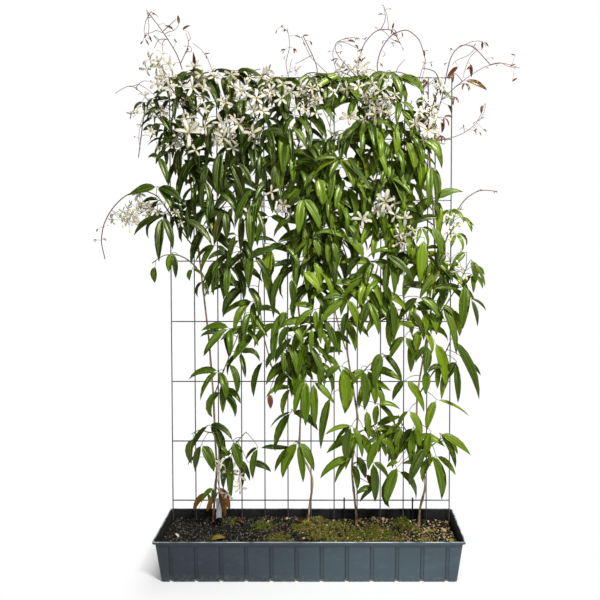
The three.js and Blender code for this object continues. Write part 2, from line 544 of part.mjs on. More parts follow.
// The leaflets of a leaf, in turn round the way its upper side faces. The outer ones are a little shorter, droop,
// and stay at least the least spread from the middle one. None may fold back along the petiole, and in the later
// turns an outer one that would is left out.
function leafletsOf({ hub, chord, length, front, leaflets }, number, attempt) {
  const d = (k, range) => mix(...range, draw(number, attempt, k));
  const middle = unit(chord);
  const face = squareTo(vec(d(7, LEAF.faceSide), -front, d(8, LEAF.faceUp)), middle);
  const places = { 1: [0], 2: d(9, [0, 1]) < 0.5 ? [-1, 0] : [0, 1], 3: [-1, 0, 1] }[leaflets];
  const chords = places.map((place) => {
    if (!place) return middle;
    const level = middle.clone().applyAxisAngle(face, place * d(10 + place, LEAF.spread));
    const drooped = level.addScaledVector(UP, -d(12 + place, LEAF.droop)).normalize();
    const axis = vec().crossVectors(middle, drooped).normalize();
    return middle.clone().applyAxisAngle(axis, Math.max(LEAF.spread[0], middle.angleTo(drooped)));
  });
  const folds = (c) => c.angleTo(hub) > Math.PI - LEAF.fold;
  const kept = chords.filter((c) => c === middle || attempt < LEAF.attempts / 2 || !folds(c));
  const blades = kept.map((c) => leafletAlong(c, length * (c === middle ? 1 : LEAF.outerShare), face, c === middle));
  const start = leafletAt(blades.find((blade) => blade.middle), 0);
  const along = start.along.multiplyScalar(2).add(unit(hub)).normalize();
  return { hub, face, blades, along, across: squareTo(start.across, along), folded: kept.some(folds) };
}

// Where a blade's edge has its corners: share of the length, and half width as a share of the width.
const MIDDLE_CORNERS = [[0.3, 0.5], [0.68, 0.37]];
const OUTER_CORNERS = [[0.42, 0.52]];

// The rim of a whole leaf, measured from where its leaflets meet, in turn round the way the upper side faces. It
// starts and ends at the petiole, and dips to a notch between leaflets.
function leafRim({ blades, along, across }, grow) {
  const r = LEAF.petioleRadius + grow;
  const back = along.clone().multiplyScalar(-r / 2);
  const rim = [back.clone().addScaledVector(across, -r)];
  blades.forEach((blade, k) => {
    const width = blade.length * LEAF.widthShare;
    const corners = blade.middle ? MIDDLE_CORNERS : OUTER_CORNERS;
    const edge = (side) => corners.map(([s, share]) => {
      const { centre, across: wide } = leafletAt(blade, s);
      return centre.addScaledVector(wide, side * (width * share + grow));
    });
    if (k > 0) {
      const notch = leafletAt(blades[k - 1], 0).along.add(leafletAt(blade, 0).along);
      rim.push(notch.setLength(2 * r));
    }
    rim.push(...edge(-1), leafletAt(blade, 1).centre, ...edge(1).reverse());
  });
  return [...rim, back.clone().addScaledVector(across, r)];
}

// Whether a rim goes round its leaf one way only, so that the leaf doesn't cross itself.
const goesRound = (rim, face) => rim.slice(1).every((p, i) => vec().crossVectors(rim[i], p).dot(face) > 1e-3);

// A leaf as one thin blade cut to its leaflets. An upper and a lower heart point lie where the leaflets meet, and
// both are joined to the whole rim. The petiole runs from inside its shoot to the rim's back edge. `grow` swells
// the leaf for a clearance test.
function leafSolid(root, leaf, grow = 0) {
  const { hub, face, along, across } = leaf;
  const heart = root.clone().add(hub);
  const rim = leafRim(leaf, grow).map((p) => p.add(heart));
  const upper = heart.clone().addScaledVector(face, LEAF.heart + grow);
  const lower = heart.clone().addScaledVector(face, -LEAF.heart - grow);
  const stalk = unit(hub);
  const wide = squareTo(across, stalk);
  const under = vec().crossVectors(wide, stalk);
  const r = LEAF.petioleRadius / 2 + grow;
  const foot = [[-r, 0], [r, 0], [0, 1.6 * r]].map(([u, v]) =>
    root.clone().addScaledVector(wide, u).addScaledVector(under, v));
  const points = [upper, lower, ...rim, ...foot];
  const [first, end] = [2, rim.length + 1];
  const [right, left, bottom] = [end + 1, end + 2, end + 3];
  const faces = [0, end, first];
  for (let i = first; i < end; i++) faces.push(0, i, i + 1, 1, i + 1, i);
  faces.push(first, end, left, first, left, right, end, 1, bottom, end, bottom, left, 1, first, right);
  faces.push(1, right, bottom, right, left, bottom);
  return solidOf(new THREE.BufferGeometry().setFromPoints(points).setIndex(faces));
}

// ---------------------------------------------------------------- blooms

// A bloom's draws: where its pedicel ends, which way it faces, how its petals are turned, and its size.
function bloomDraws(number, attempt) {
  const d = (k, range) => mix(...range, draw(number + 500, attempt, k));
  const heading = -Math.PI / 2 + d(0, BLOOM.heading);
  const rise = d(1, BLOOM.rise);
  const out = vec(Math.cos(heading) * Math.cos(rise), Math.sin(heading) * Math.cos(rise), Math.sin(rise));
  const face = out.clone().add(vec(0, -0.7, d(2, BLOOM.faceUp))).normalize();
  const radius = BLOOM.radius * d(3, BLOOM.size);
  return { end: out.multiplyScalar(d(4, BLOOM.pedicel)), face, turn: d(5, BLOOM.turn), radius };
}

// A bloom is a star-shaped blade: its rim is joined to a point at its heart in front, and behind to the end of the
// pedicel, a three-sided stalk that starts inside the spray's own.
function bloomSolid(root, { end, face, turn, radius }, grow = 0) {
  const side = vec().crossVectors(face, UP).normalize();
  const top = vec().crossVectors(side, face);
  const centre = root.clone().add(end);
  const around = (middle, angle, reach, lift) => middle.clone().addScaledVector(side, Math.cos(angle + turn) * reach)
    .addScaledVector(top, Math.sin(angle + turn) * reach).addScaledVector(face, lift);
  const rim = [];
  const step = (2 * Math.PI) / BLOOM.petals;
  for (let p = 0; p < BLOOM.petals; p++)
    for (const [share, reach, lift] of BLOOM.petal)
      rim.push(around(centre, (p + share) * step, reach * radius + grow, lift * radius));
  const heart = BLOOM.heart + grow;
  const ring = (middle, radius) => [0, 1, 2].map((i) => around(middle, (i * 2 * Math.PI) / 3, radius + grow, -heart));
  const start = root.clone().addScaledVector(face, heart);
  const front = centre.clone().addScaledVector(face, heart);
  return loftSolid([ring(start, BLOOM.pedicelRadius / 2), ring(centre, BLOOM.pedicelRadius), rim, [front]]);
}

// ---------------------------------------------------------------- what has been placed, and clearance

const CLEARANCE = 0.5; // how much an item is swelled for the test
const placed = [];

function place(solid) {
  const { min, max } = solid.boundingBox();
  placed.push({ solid, min, max });
}

// Whether a solid is clear of everything placed, apart from the branch that it grows on.
function isClear(solid, carrier) {
  const { min, max } = solid.boundingBox();
  const near = placed.filter((p) => p.solid !== carrier && [0, 1, 2].every((i) => p.min[i] < max[i] && p.max[i] > min[i]));
  return near.every((p) => p.solid.intersect(solid).volume() < 1e-6);
}

// The first of several turns of an item that is clear, or null.
function firstClear(attempts, make, carrier) {
  for (let attempt = 0; attempt < attempts; attempt++) {
    const build = make(attempt);
    if (build && isClear(build(CLEARANCE), carrier)) return build(0);
  }
  return null;
}

// ---------------------------------------------------------------- assembly

const COLOURS = {
  trough: [0x47535b, 0.45, 0],
  soil: [0x2d251d, 0.95, 0],
  trellis: [0x7a7e82, 0.35, 0.9],
  clip: [0x1c1d1f, 0.5, 0],
  label: [0xe9e8ee, 0.4, 0],
  stem: [0x7b5c41, 0.8, 0],
  shoot: [0x3f6f22, 0.4, 0],
  spray: [0xf1ecd8, 0.6, 0],
};

const clematis = new THREE.Group();
clematis.name = "clematis_on_trellis";

function addNode(name, solid, look) {
  const { numProp, vertProperties, triVerts } = solid.getMesh();
  const position = new Float32Array((vertProperties.length / numProp) * 3);
  for (let i = 0; i < position.length / 3; i++)
    position.set(vertProperties.subarray(i * numProp, i * numProp + 3), i * 3);
  const geometry = new THREE.BufferGeometry().setAttribute("position", new THREE.BufferAttribute(position, 3));
  geometry.setIndex(new THREE.BufferAttribute(triVerts, 1));
  const [color, roughness, metalness] = COLOURS[look];
  const mesh = new THREE.Mesh(geometry, new THREE.MeshStandardMaterial({ color, roughness, metalness }));
  mesh.name = name;
  clematis.add(mesh);
}

// Holes in the soil: each is what stands there, a gap larger all round.
function soilHoles() {
  const holes = [labelSolid(GAP)];
  const half = TRELLIS.wire / 2 + GAP;
  for (let i = 0; i <= TRELLIS.columns; i++) {
    const low = (i === 0 || i === TRELLIS.columns ? TRELLIS.endFoot : TRELLIS.foot) - GAP;
    holes.push(boxSolid([wireX(i) - half, TRELLIS.y - half, low], [wireX(i) + half, TRELLIS.y + half, TROUGH.height]));
  }
  for (const route of Object.values(STEM_ROUTES)) {
    const foot = vec(...route[0]).setZ(STEM.rootZ - GAP);
    const rings = [foot, foot.clone().setZ(TROUGH.height)].map((p) => ringRound(p, UP, STEM.radii[0] + 0.8, STEM.sides));
    holes.push(loftSolid(rings));
  }
  const back = CROSS_Y + TRELLIS.wire / 2;
  for (const x of CLIP.xs)
    holes.push(boxSolid([x - CLIP.width / 2 - GAP, back, CLIP.foot - GAP],
      [x + CLIP.width / 2 + GAP, back + CLIP.thickness + 2 * GAP, TROUGH.height]));
  return holes;
}

const trough = troughSolid();
const soil = soilSolid(soilHoles());
const wires = trellisWires();
const clips = CLIP.xs.map(clipSolid);
const label = labelSolid();
[trough, soil, ...wires, ...clips, label, ...Object.values(branches).map((b) => b.solid)].forEach(place);

addNode("trough", trough, "trough");
addNode("soil", soil, "soil");
addNode("trellis", Manifold.union(wires), "trellis");
clips.forEach((clip, i) => addNode(`trellis_clip_${i + 1}`, clip, "clip"));
addNode("plant_label", label, "label");
for (const name of Object.keys(STEM_ROUTES)) addNode(name, branches[name].solid, "stem");

// Sprays: a stalk seated on its carrier, with blooms on pedicels along its outer part.
let bloomNumber = 0;
for (const [name, { on, z, tip, blooms }] of Object.entries(SPRAYS)) {
  const stalk = greenBranch(branches[on], z, [tip], BLOOM.stalkRadii);
  const parts = [stalk.solid];
  place(stalk.solid);
  for (let i = 0; i < blooms; i++) {
    const root = branchAt(stalk, mix(0.4, 0.97, i / (blooms - 1))).centre;
    const number = (bloomNumber += 1);
    const bloom = firstClear(BLOOM.attempts, (attempt) => {
      const draws = bloomDraws(number, attempt);
      return (grow) => bloomSolid(root, draws, grow);
    }, stalk.solid);
    if (!bloom) continue;
    place(bloom);
    parts.push(bloom);
  }
  addNode(name, Manifold.union(parts), "spray");
}

// Leaves. Those set by hand come first, and the others are turned or left out to clear them.
let leafNumber = 0;
const shootParts = {};
for (const [name, { twigs = [] }] of Object.entries(SHOOTS))
  shootParts[name] = [branches[name].solid, ...twigs.map((route) => twigSolid(branches[name], route))];
Object.values(shootParts).forEach(([, ...twigs]) => twigs.forEach(place));

function addLeaf(name, root, describe) {
  const number = (leafNumber += 1);
  const solid = firstClear(LEAF.attempts, (attempt) => {
    const leaf = leafletsOf(describe(number, attempt), number, attempt);
    const sound = !leaf.folded && goesRound(leafRim(leaf, 0), leaf.face);
    return sound && ((grow) => leafSolid(root, leaf, grow));
  }, branches[name].solid);
  if (!solid) return;
  place(solid);
  shootParts[name].push(solid);
}

for (const [name, { set = [] }] of Object.entries(SHOOTS))
  for (const row of set) {
    const hub = vec(...row[0]);
    const root = branchAt(branches[name], Math.min(0.97, shareWhere(branches[name], (p) => p.distanceTo(hub)))).centre;
    addLeaf(name, root, (number, attempt) => setLeaf(root, row, attempt));
  }
for (const [name, { leaves, last = 1, size }] of Object.entries(SHOOTS)) {
  const toBack = branches[name].centres.at(-1).y > TRELLIS.y;
  for (let i = 0; i < leaves; i++) {
    const root = branchAt(branches[name], mix(0.2, last - 0.02, (i + 0.5) / leaves)).centre;
    addLeaf(name, root, (number, attempt) => drawnLeaf(number, attempt, i % 2 ? 1 : -1, toBack, size));
  }
}
for (const name of Object.keys(SHOOTS)) addNode(name, Manifold.union(shootParts[name]), "shoot");

export default clematis;
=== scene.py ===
"""Looks of an evergreen clematis, trained on a wire trellis that stands in a long planting trough.

Metres, +Z up, -Y to the front, the origin at the centre of the trough's underside. The pieces come in the order in
which the whole is put together: trough, soil, trellis, stems, leafy shoots, blossom, what has fallen on the soil.
"""

import bpy
import numpy as np
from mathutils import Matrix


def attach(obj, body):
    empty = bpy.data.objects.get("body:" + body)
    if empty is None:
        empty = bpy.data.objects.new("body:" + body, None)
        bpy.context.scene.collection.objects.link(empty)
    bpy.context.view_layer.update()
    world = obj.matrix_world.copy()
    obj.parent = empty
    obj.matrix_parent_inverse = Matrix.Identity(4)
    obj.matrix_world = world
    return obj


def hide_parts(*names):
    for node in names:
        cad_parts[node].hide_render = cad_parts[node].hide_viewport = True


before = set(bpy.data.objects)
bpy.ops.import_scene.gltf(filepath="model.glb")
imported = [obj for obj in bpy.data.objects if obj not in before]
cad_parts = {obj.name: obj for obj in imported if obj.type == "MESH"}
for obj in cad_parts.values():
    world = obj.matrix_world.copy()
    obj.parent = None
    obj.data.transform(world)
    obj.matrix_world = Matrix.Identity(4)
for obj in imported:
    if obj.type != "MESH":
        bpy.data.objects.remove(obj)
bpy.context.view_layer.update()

# ---------------------------------------------------------------- trough
# The planting trough is one injection moulding of anthracite polypropylene, 1 m long. Its walls lean in to the
# base, a lip runs round the top, and twelve shallow upright grooves stiffen each long wall and end in a small
# notch at the base. Its colour is painted lighter towards the right as painted light, and darker inside and in the
# grooves as painted shade, with flecks of dust in the grooves. The lip's top edge is painted pale, partly as
# scuffs and partly as a painted highlight.

TROUGH_LIP = (0.500, 0.104)  # half length and half depth, over the lip
TROUGH_HEIGHT = 0.142
TROUGH_LEAN = 0.016  # of each wall, from lip to base
LIP_REACH = 0.006
WALL = 0.003
PITCH = 0.0806  # from one groove to the next, as from one upright wire to the next
GROOVE_X = (np.arange(12) - 5.5) * PITCH
GROOVE = (0.0062, 0.0050, 0.0024)  # half width at the face, half width at the bottom, depth
GROOVE_EDGE, GROOVE_MIDDLE = 0.0074, 0.0037  # half widths: past the groove, and of the flat of its bottom
CORNER = 0.008  # radius


def unit(v):
    """Each vector divided by its length."""
    v = np.asarray(v, float)
    return v / np.maximum(np.linalg.norm(v, axis=-1, keepdims=True), 1e-12)


def marked(shape, tint=None, **given):
    """The six marks of each point of an array of that shape, which the finishes read: 0 unless given by name. tint
    gives the last three for each stack of points."""
    marks = np.zeros((*shape, 6))
    if tint is not None:
        marks[..., 3:] = tint[:, None, None]
    for name, value in given.items():
        marks[..., ("along", "across", "under", "tone", "age", "chance").index(name)] = value
    return marks


def skin(rings, first, last, marks):
    """Closed skins over stacks of rings, an array (stack, ring, corner, xyz). Corners run anticlockwise as seen from
    the last ring, and each stack ends in the poles first and last, (stack, xyz). A pole takes its ring's mean marks."""
    n, m, s, _ = rings.shape
    size = m * s + 2
    marks = np.broadcast_to(marks, (n, m, s, 6))
    points = np.concatenate([first[:, None], rings.reshape(n, -1, 3), last[:, None]], axis=1)
    start, end = (marks[:, k].mean(1)[:, None] for k in (0, -1))
    marks = np.concatenate([start, marks.reshape(n, -1, 6), end], axis=1)
    k, a = np.meshgrid(np.arange(m - 1), np.arange(s), indexing="ij")
    b = (a + 1) % s
    quads = 1 + np.stack([k * s + a, k * s + b, (k + 1) * s + b, (k + 1) * s + a], -1).reshape(-1, 4)
    a = np.arange(s)
    b = (a + 1) % s
    ends = [np.stack([0 * a, 1 + b, 1 + a], -1), size - 1 - np.stack([0 * a, s - a, s - b], -1)]
    shift = (np.arange(n) * size)[:, None, None]
    return {"points": points.reshape(-1, 3), "marks": marks.reshape(-1, 6), "quads": (quads + shift).reshape(-1, 4),
            "triangles": (np.concatenate(ends) + shift).reshape(-1, 3)}


def made(name, parts, stands_for=()):
    """One object at the origin from several skins, each given with its finish. It rides on the root body, takes its
    look from those finishes, and stands for the CAD nodes named. The six marks of a point become the two vector
    attributes that the finishes read, "place" (along, across, under) and "tint" (tone, age, chance)."""
    joined = lambda key: np.concatenate([s[key] for s, _ in parts])
    points, marks = joined("points"), joined("marks")
    offset = np.cumsum([0] + [len(s["points"]) for s, _ in parts])
    finishes = list(dict.fromkeys(f for _, f in parts))
    corners, starts, numbers, used = [], [], [], 0
    for key, sides in (("quads", 4), ("triangles", 3)):
        faces = np.concatenate([s[key] + o for (s, _), o in zip(parts, offset)])
        corners.append(faces.ravel())
        starts.append(used + np.arange(len(faces)) * sides)
        numbers += [np.full(len(s[key]), finishes.index(f)) for s, f in parts]
        used += faces.size
    mesh = bpy.data.meshes.new(name)
    mesh.vertices.add(len(points))
    mesh.vertices.foreach_set("co", points.astype(np.float32).ravel())
    mesh.loops.add(used)
    mesh.loops.foreach_set("vertex_index", np.concatenate(corners).astype(np.int32))
    starts = np.concatenate(starts)
    mesh.polygons.add(len(starts))
    mesh.polygons.foreach_set("loop_start", starts.astype(np.int32))
    for look in finishes:
        mesh.materials.append(look)
    mesh.polygons.foreach_set("material_index", np.concatenate(numbers).astype(np.int32))
    mesh.polygons.foreach_set("use_smooth", np.ones(len(starts), bool))
    mesh.update(calc_edges=True)
    for label, part in (("place", marks[:, :3]), ("tint", marks[:, 3:])):
        data = mesh.attributes.new(label, "FLOAT_VECTOR", "POINT").data
        data.foreach_set("vector", part.astype(np.float32).ravel())
    piece = bpy.data.objects.new(name, mesh)
    bpy.context.scene.collection.objects.link(piece)
    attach(piece, "root")
    if stands_for:
        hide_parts(*stands_for)


def colour(code):
    """A colour given as six hexadecimal digits, as the linear values that a shader takes."""
    v = np.array([int(code[k : k + 2], 16) for k in (0, 2, 4)]) / 255
    return (*np.where(v <= 0.04045, v / 12.92, ((v + 0.055) / 1.055) ** 2.4).tolist(), 1.0)


class Shade:
    """A socket in a finish's node tree. Arithmetic on it adds Math nodes, and node() adds any other."""

    def __init__(self, tree, socket=None):
        self.tree, self.socket = tree, socket

    def node(self, kind, settings, sockets, output=0):
        """A node of that kind: its settings first, then its sockets' values or links. Six digits are a colour."""
        new = self.tree.nodes.new("ShaderNode" + kind)
        for key, value in settings.items():
            setattr(new, key, value)
        for key, value in sockets.items():
            if isinstance(value, Shade):
                self.tree.links.new(value.socket, new.inputs[key])
            else:
                new.inputs[key].default_value = colour(value) if isinstance(value, str) else value
        return Shade(self.tree, new.outputs[output])

    def math(self, operation, *values):
        return self.node("Math", {"operation": operation}, dict(enumerate(values)))

    def __add__(self, other):
        return self.math("ADD", self, other)

    def __sub__(self, other):
        return self.math("SUBTRACT", self, other)

    def __rsub__(self, other):
        return self.math("SUBTRACT", other, self)

    def __mul__(self, other):
        return self.math("MULTIPLY", self, other)

    def __pow__(self, other):
        return self.math("POWER", self, other)

    def __abs__(self):
        return self.math("ABSOLUTE", self)

    __radd__, __rmul__ = __add__, __mul__

    def least(self, other):
        """The lesser of this and the other."""
        return self.math("MINIMUM", self, other)

    def step(self, low, high):
        """0 below low and 1 above high, and straight between. With low above high it falls instead."""
        return self.node("MapRange", {"clamp": True}, {0: self, 1: low, 2: high, 3: 0.0, 4: 1.0})

    def blend(self, under, over):
        """The colour under where this is 0, and over where it is 1."""
        return self.node("Mix", {"data_type": "RGBA"}, {0: self, 6: under, 7: over}, output=2)

    def ramp(self, *stops):
        """A colour that changes along this number, through stops of (number, colour)."""
        new = self.node("ValToRGB", {}, {0: self})
        elements = new.socket.node.color_ramp.elements
        while len(elements) < len(stops):
            elements.new(1.0)
        for element, (at, code) in zip(elements, stops):
            element.position, element.color = at, colour(code)
        return new

    def parts(self):
        """The three numbers of this vector."""
        split = self.node("SeparateXYZ", {}, {0: self})
        return [Shade(self.tree, socket) for socket in split.socket.node.outputs]

    def place(self):
        """A point's place on the object, in its own coordinates."""
        return self.node("TexCoord", {}, {}, output=3)

    def grain(self, size, detail=2.0, stretch=(1, 1, 1)):
        """Noise of 0 to 1 on the object's own coordinates, with specks of that size in metres."""
        at = self.node("Mapping", {}, {0: self.place(), 3: tuple(1 / (size * k) for k in stretch)})
        return self.node("TexNoise", {}, {"Vector": at, "Scale": 1.0, "Detail": detail})

    def mark(self, name):
        """The three numbers of one of the mesh's own attributes."""
        return self.node("Attribute", {"attribute_name": name}, {}, output=1).parts()

    def bump(self, height, depth):
        """A normal that follows a height of 0 to 1, whose 1 stands that many metres proud."""
        return self.node("Bump", {}, {"Height": height, "Distance": depth, "Strength": 1.0})


def finish(name, make):
    """A material. make is given its tree and returns the values and links of its principled shader's sockets."""
    material = bpy.data.materials.new(name)
    material.use_nodes = True
    tree = material.node_tree
    tree.nodes.clear()
    shade = Shade(tree)
    output = tree.nodes.new("ShaderNodeOutputMaterial")
    tree.links.new(shade.node("BsdfPrincipled", {}, make(shade)).socket, output.inputs["Surface"])
    return material


def trough_outline():
    """Columns round the trough as rows (x, sx, sy, nx, ny). A rounded rectangle of half sizes hx, hy and corner
    radius r has there the point (x + sx (hx - r) + r nx, sy (hy - r) + r ny). They run anticlockwise from above."""
    half, bottom, _ = GROOVE
    edges = np.array([GROOVE_EDGE, half, bottom, GROOVE_MIDDLE])
    grooves = (GROOVE_X[:, None] + np.concatenate([-edges, edges[::-1]])).ravel()
    between = GROOVE_X[:-1] + PITCH / 2
    x = np.sort(np.concatenate([grooves, between, [-0.470, -0.462, 0.462, 0.470]]))
    front = np.stack([x, 0 * x, 0 * x - 1, 0 * x, 0 * x - 1], 1)
    back = front[::-1] * [1, 1, -1, 1, -1]
    turn = np.linspace(0, np.pi / 2, 7)

    def corner(sx, sy, start):
        a = start + turn
        return np.stack([0 * a, 0 * a + sx, 0 * a + sy, np.cos(a), np.sin(a)], 1)

    return np.concatenate([front, corner(1, -1, -np.pi / 2), corner(1, 1, 0), back, corner(-1, 1, np.pi / 2),
                           corner(-1, -1, np.pi)])


def trough_skin():
    """The outline stacked along the section: rows of height, inset from the lip's outside, and share of a groove's
    depth. It runs up the outside, over the lip, and down the inside to the floor."""
    lean = lambda z: TROUGH_LEAN * (1 - z / TROUGH_HEIGHT) + LIP_REACH
    rows = [(0, lean(0) + 0.030, 0), (0, lean(0) + 0.0016, 1.6), (0.0005, lean(0) + 0.0004, 1.6)]
    rows += [(z, lean(z), share) for z, share in (
        (0.002, 1.6), (0.005, 1.5), (0.008, 1), (0.04, 1), (0.08, 1), (0.118, 1), (0.1225, 0.8), (0.126, 0.25),
        (0.128, 0), (0.1335, 0))]
    lip = len(rows) + 4  # the first row of its edge
    rows += [(z, inset, 0) for z, inset in (
        (0.134, 0.0050), (0.1343, 0.0010), (0.1352, 0.0001), (0.1408, 0), (0.1417, 0.0004), (0.142, 0.0012),
        (0.142, 0.0036), (0.1412, 0.0044), (0.1405, 0.0070))]
    rows += [(z, lean(z) + WALL, 0) for z in (0.1395, 0.11, 0.07, 0.03, 0.008)]
    rows += [(0.0045, lean(0) + WALL + 0.003, 0), (0.004, lean(0) + WALL + 0.010, 0)]
    z, inset, share = np.array(rows).T[:, :, None]
    x, sx, sy, nx, ny = trough_outline().T
    across = sx * (TROUGH_LIP[0] - inset - CORNER) + CORNER * nx + x
    deep = sy * (TROUGH_LIP[1] - inset - CORNER) + CORNER * ny
    half, bottom, depth = GROOVE
    miss = np.abs(x[:, None] - GROOVE_X)
    cut = np.clip((half - miss.min(1)) / (half - bottom), 0, 1) * (nx == 0)
    deep = deep - sy * depth * share * cut
    rings = np.stack([across, deep, z + 0 * across], -1)[None]
    beside = x - GROOVE_X[miss.argmin(1)]
    left = [-GROOVE_EDGE, -half, -bottom, -GROOVE_MIDDLE]
    # painted shade in each groove: darkest on its left wall, light on the flat of its bottom, with a thin darker line
    # on its right wall
    groove_shade_profile = np.interp(beside, left + [-v for v in left[::-1]], [0, 0.9, 1, 0.3, 0.08, 0.35, 0.3, 0])
    marks = marked(rings.shape[:3], along=groove_shade_profile * (nx == 0) * np.clip(share, 0, 1))
    # the lip's top edge, which the finish paints pale, partly as scuffs and partly as a painted highlight
    marks[0, lip : lip + 3, :, 1] = 1
    # the inside rows, which the finish paints near black as painted shade
    marks[0, lip + 3 :, :, 2] = 1
    return skin(rings, np.array([[0, 0, 0.0]]), np.array([[0, 0, 0.004]]), marks)


def trough_plastic(shade):
    groove, edge, inside = shade.mark("place")
    x, _, z = shade.place().parts()
    cloud = shade.grain(0.16, 3, (1.6, 1, 1))
    # painted light: the plastic is painted lighter towards the right-hand end, where the key light falls, and darker to
    # the left; the streaks and the pale lip edge grow with it
    painted_light_from_right = x.step(-0.55, 0.15)
    body = (cloud.step(0.3, 0.75) * (0.12 + 0.23 * painted_light_from_right) + painted_light_from_right * 0.65).blend("0f1a20", "44555f")
    streaks = shade.grain(0.012, 3, (3, 1, 1)).step(0.55, 0.85)
    body = (streaks * (0.08 + 0.17 * painted_light_from_right)).blend(body, "6c7c85")
    dust = groove * shade.grain(0.004, 2).step(0.35, 0.7)
    # painted shade: the grooves are painted nearly black where their shade falls, and flecked darker with dust
    body = (dust * 0.1 + groove * 0.85).blend(body, "0c1114")
    splash = z.step(0.03, 0.0) * shade.grain(0.008, 3).step(0.45, 0.7)
    body = (splash * 0.55).blend(body, "77756c")
    worn = groove * z.step(0.009, 0.005)
    # painted shade: the inside of the trough is painted near black
    body = inside.blend((worn * 0.8).blend(body, "a9a696"), "090a0c")
    # the lip's top edge painted pale: partly scuffs, partly a painted highlight, stronger to the right where the light
    # falls
    scuff_and_highlight = edge * shade.grain(0.010, 3, (4, 1, 1)).step(0.30, 0.6)
    body = (scuff_and_highlight * (0.6 + 0.4 * painted_light_from_right)).blend(body, "ccd3d3")
    rough = 0.42 + 0.25 * shade.grain(0.02, 3) + 0.2 * dust + 0.3 * inside
    return {"Base Color": body, "Roughness": rough, "Specular IOR Level": 0.4,
            "Normal": shade.bump(shade.grain(0.0015, 2), 0.0002)}


made("trough_moulding", [(trough_skin(), finish("trough_plastic", trough_plastic))], ["trough"])

# ---------------------------------------------------------------- soil
# Dark peat compost, a little lower at the right-hand end. It is dressed with bark crumbs, grit and white perlite,
# a few pebbles lie at the back, and cushions of moss have grown over the right two thirds.

SOIL_TOP = 0.122
BED = (0.4835, 0.0875)  # half length and half depth
BED_FLOOR = (0.078, 0.05)  # half depth and height of its underside
MOSS = [  # x, y, radius, height of each cushion
    (-0.02, 0.02, 0.05, 0.006), (0.04, -0.01, 0.06, 0.007), (0.10, 0.03, 0.045, 0.006), (0.16, -0.03, 0.065, 0.008),
    (0.22, -0.02, 0.07, 0.01), (0.27, -0.05, 0.05, 0.007), (0.315, 0.03, 0.034, 0.034), (0.35, 0.012, 0.024, 0.008),
    (-0.16, 0.03, 0.045, 0.004), (0.38, -0.05, 0.03, 0.003), (-0.27, 0.045, 0.03, 0.005), (0.02, 0.065, 0.04, 0.006),
    (-0.10, -0.06, 0.05, 0.004), (0.08, -0.07, 0.06, 0.004)]
PEBBLES = [  # x, y, radius
    (0.218, 0.078, 0.009), (0.252, 0.075, 0.007), (-0.085, 0.072, 0.006), (-0.148, 0.052, 0.006), (0.455, 0.020, 0.007),
    (0.120, 0.070, 0.006), (-0.02, -0.045, 0.005), (0.30, -0.065, 0.005)]


def uneven(x, y, size, seed):
    """Smooth unevenness of about -1 to 1: a sum of nine sine waves of seeded directions, near that size in metres."""
    draw = np.random.default_rng(seed)
    heading, stretch, phase = draw.uniform(0, 2 * np.pi, (3, 9))
    waves = 2 * np.pi / (size * (0.8 + 0.25 * stretch / np.pi))
    return sum(np.sin(w * (x * np.cos(h) + y * np.sin(h)) + p) for w, h, p in zip(waves, heading, phase)) / 3.4


def mossy(x, y):
    """Moss at a point: its height, and its cover of 0 to 1. Each cushion is a rounded heap with a broken edge."""
    edge = 1 + 0.35 * uneven(x, y, 0.022, 5)
    near = np.array([np.clip(1 - np.hypot(x - cx, (y - cy) * 1.2) / (r * edge), 0, 1) for cx, cy, r, _ in MOSS])
    height = np.array([h for *_, h in MOSS]).reshape(-1, *[1] * np.ndim(x))
    return (height * near**0.6).max(0), np.clip(near.max(0) * 3.2, 0, 1)


def soil_height(x, y):
    """The soil falls to the right-hand end, and has long ripples, clods and crumbs on it, and the moss."""
    fall = 0.022 * np.maximum(0, x + 0.2) ** 1.5
    ripple = np.sin(x / 0.047 + y / 0.031) + np.sin(x / 0.083 - y / 0.023 + 1)
    clods = 0.0022 * uneven(x, y, 0.030, 1) + 0.0013 * uneven(x, y, 0.013, 2) + 0.0008 * uneven(x, y, 0.007, 3)
    return SOIL_TOP - fall + 0.0025 * ripple + clods + mossy(x, y)[0]


def soil_skin():
    """Cross-sections of the bed, one behind another along x: over the top from the back to the front wall, then
    back underneath."""
    x = np.linspace(-BED[0], BED[0], 230)[:, None]
    y = np.linspace(BED[1], -BED[1], 44)[None]
    top = np.stack([x + 0 * y, y + 0 * x, soil_height(x, y) + 0 * x], -1)
    low = np.stack([x[:, 0], 0 * x[:, 0] - BED_FLOOR[0], 0 * x[:, 0] + BED_FLOOR[1]], -1)[:, None]
    ring = np.concatenate([top, low, low * [1, -1, 1]], axis=1)[None]
    marks = marked(ring.shape[:3])
    marks[0, :, : y.size, 0] = mossy(x, y)[1]
    ends = ring[:, [0, -1]].mean(2)
    return skin(ring, ends[:, 0], ends[:, 1], marks)


def lumps(centre, size, draw, marks):
    """Small angular lumps: two rings of five corners between two poles, each corner pushed in or out by a draw."""
    n = len(centre)
    a = np.arange(5) * 2 * np.pi / 5 + draw.uniform(0, 6.3, (n, 1))
    reach = draw.uniform(0.65, 1.2, (n, 2, 5))
    lift = np.array([-0.35, 0.4])[:, None] + draw.uniform(-0.2, 0.2, (n, 2, 5))
    ring = np.stack([np.cos(a)[:, None] * reach, np.sin(a)[:, None] * reach, lift], -1)
    poles = np.array([[0, 0, -0.8], [0, 0, 0.85]]) + draw.uniform(-0.25, 0.25, (n, 2, 3))
    tilt = draw.uniform(-0.5, 0.5, (n, 1, 2))
    corners = np.concatenate([poles[:, :1], ring.reshape(n, 10, 3), poles[:, 1:]], axis=1)
    corners[..., :2] += corners[..., 2:] * tilt
    stretch = draw.uniform([0.6, 0.6, 0.6], [1.7, 1.7, 1.0], (n, 3))
    corners = centre[:, None] + corners * (size[:, None] * stretch)[:, None]
    return skin(corners[:, 1:11].reshape(n, 2, 5, 3), corners[:, 0], corners[:, 11], marks)


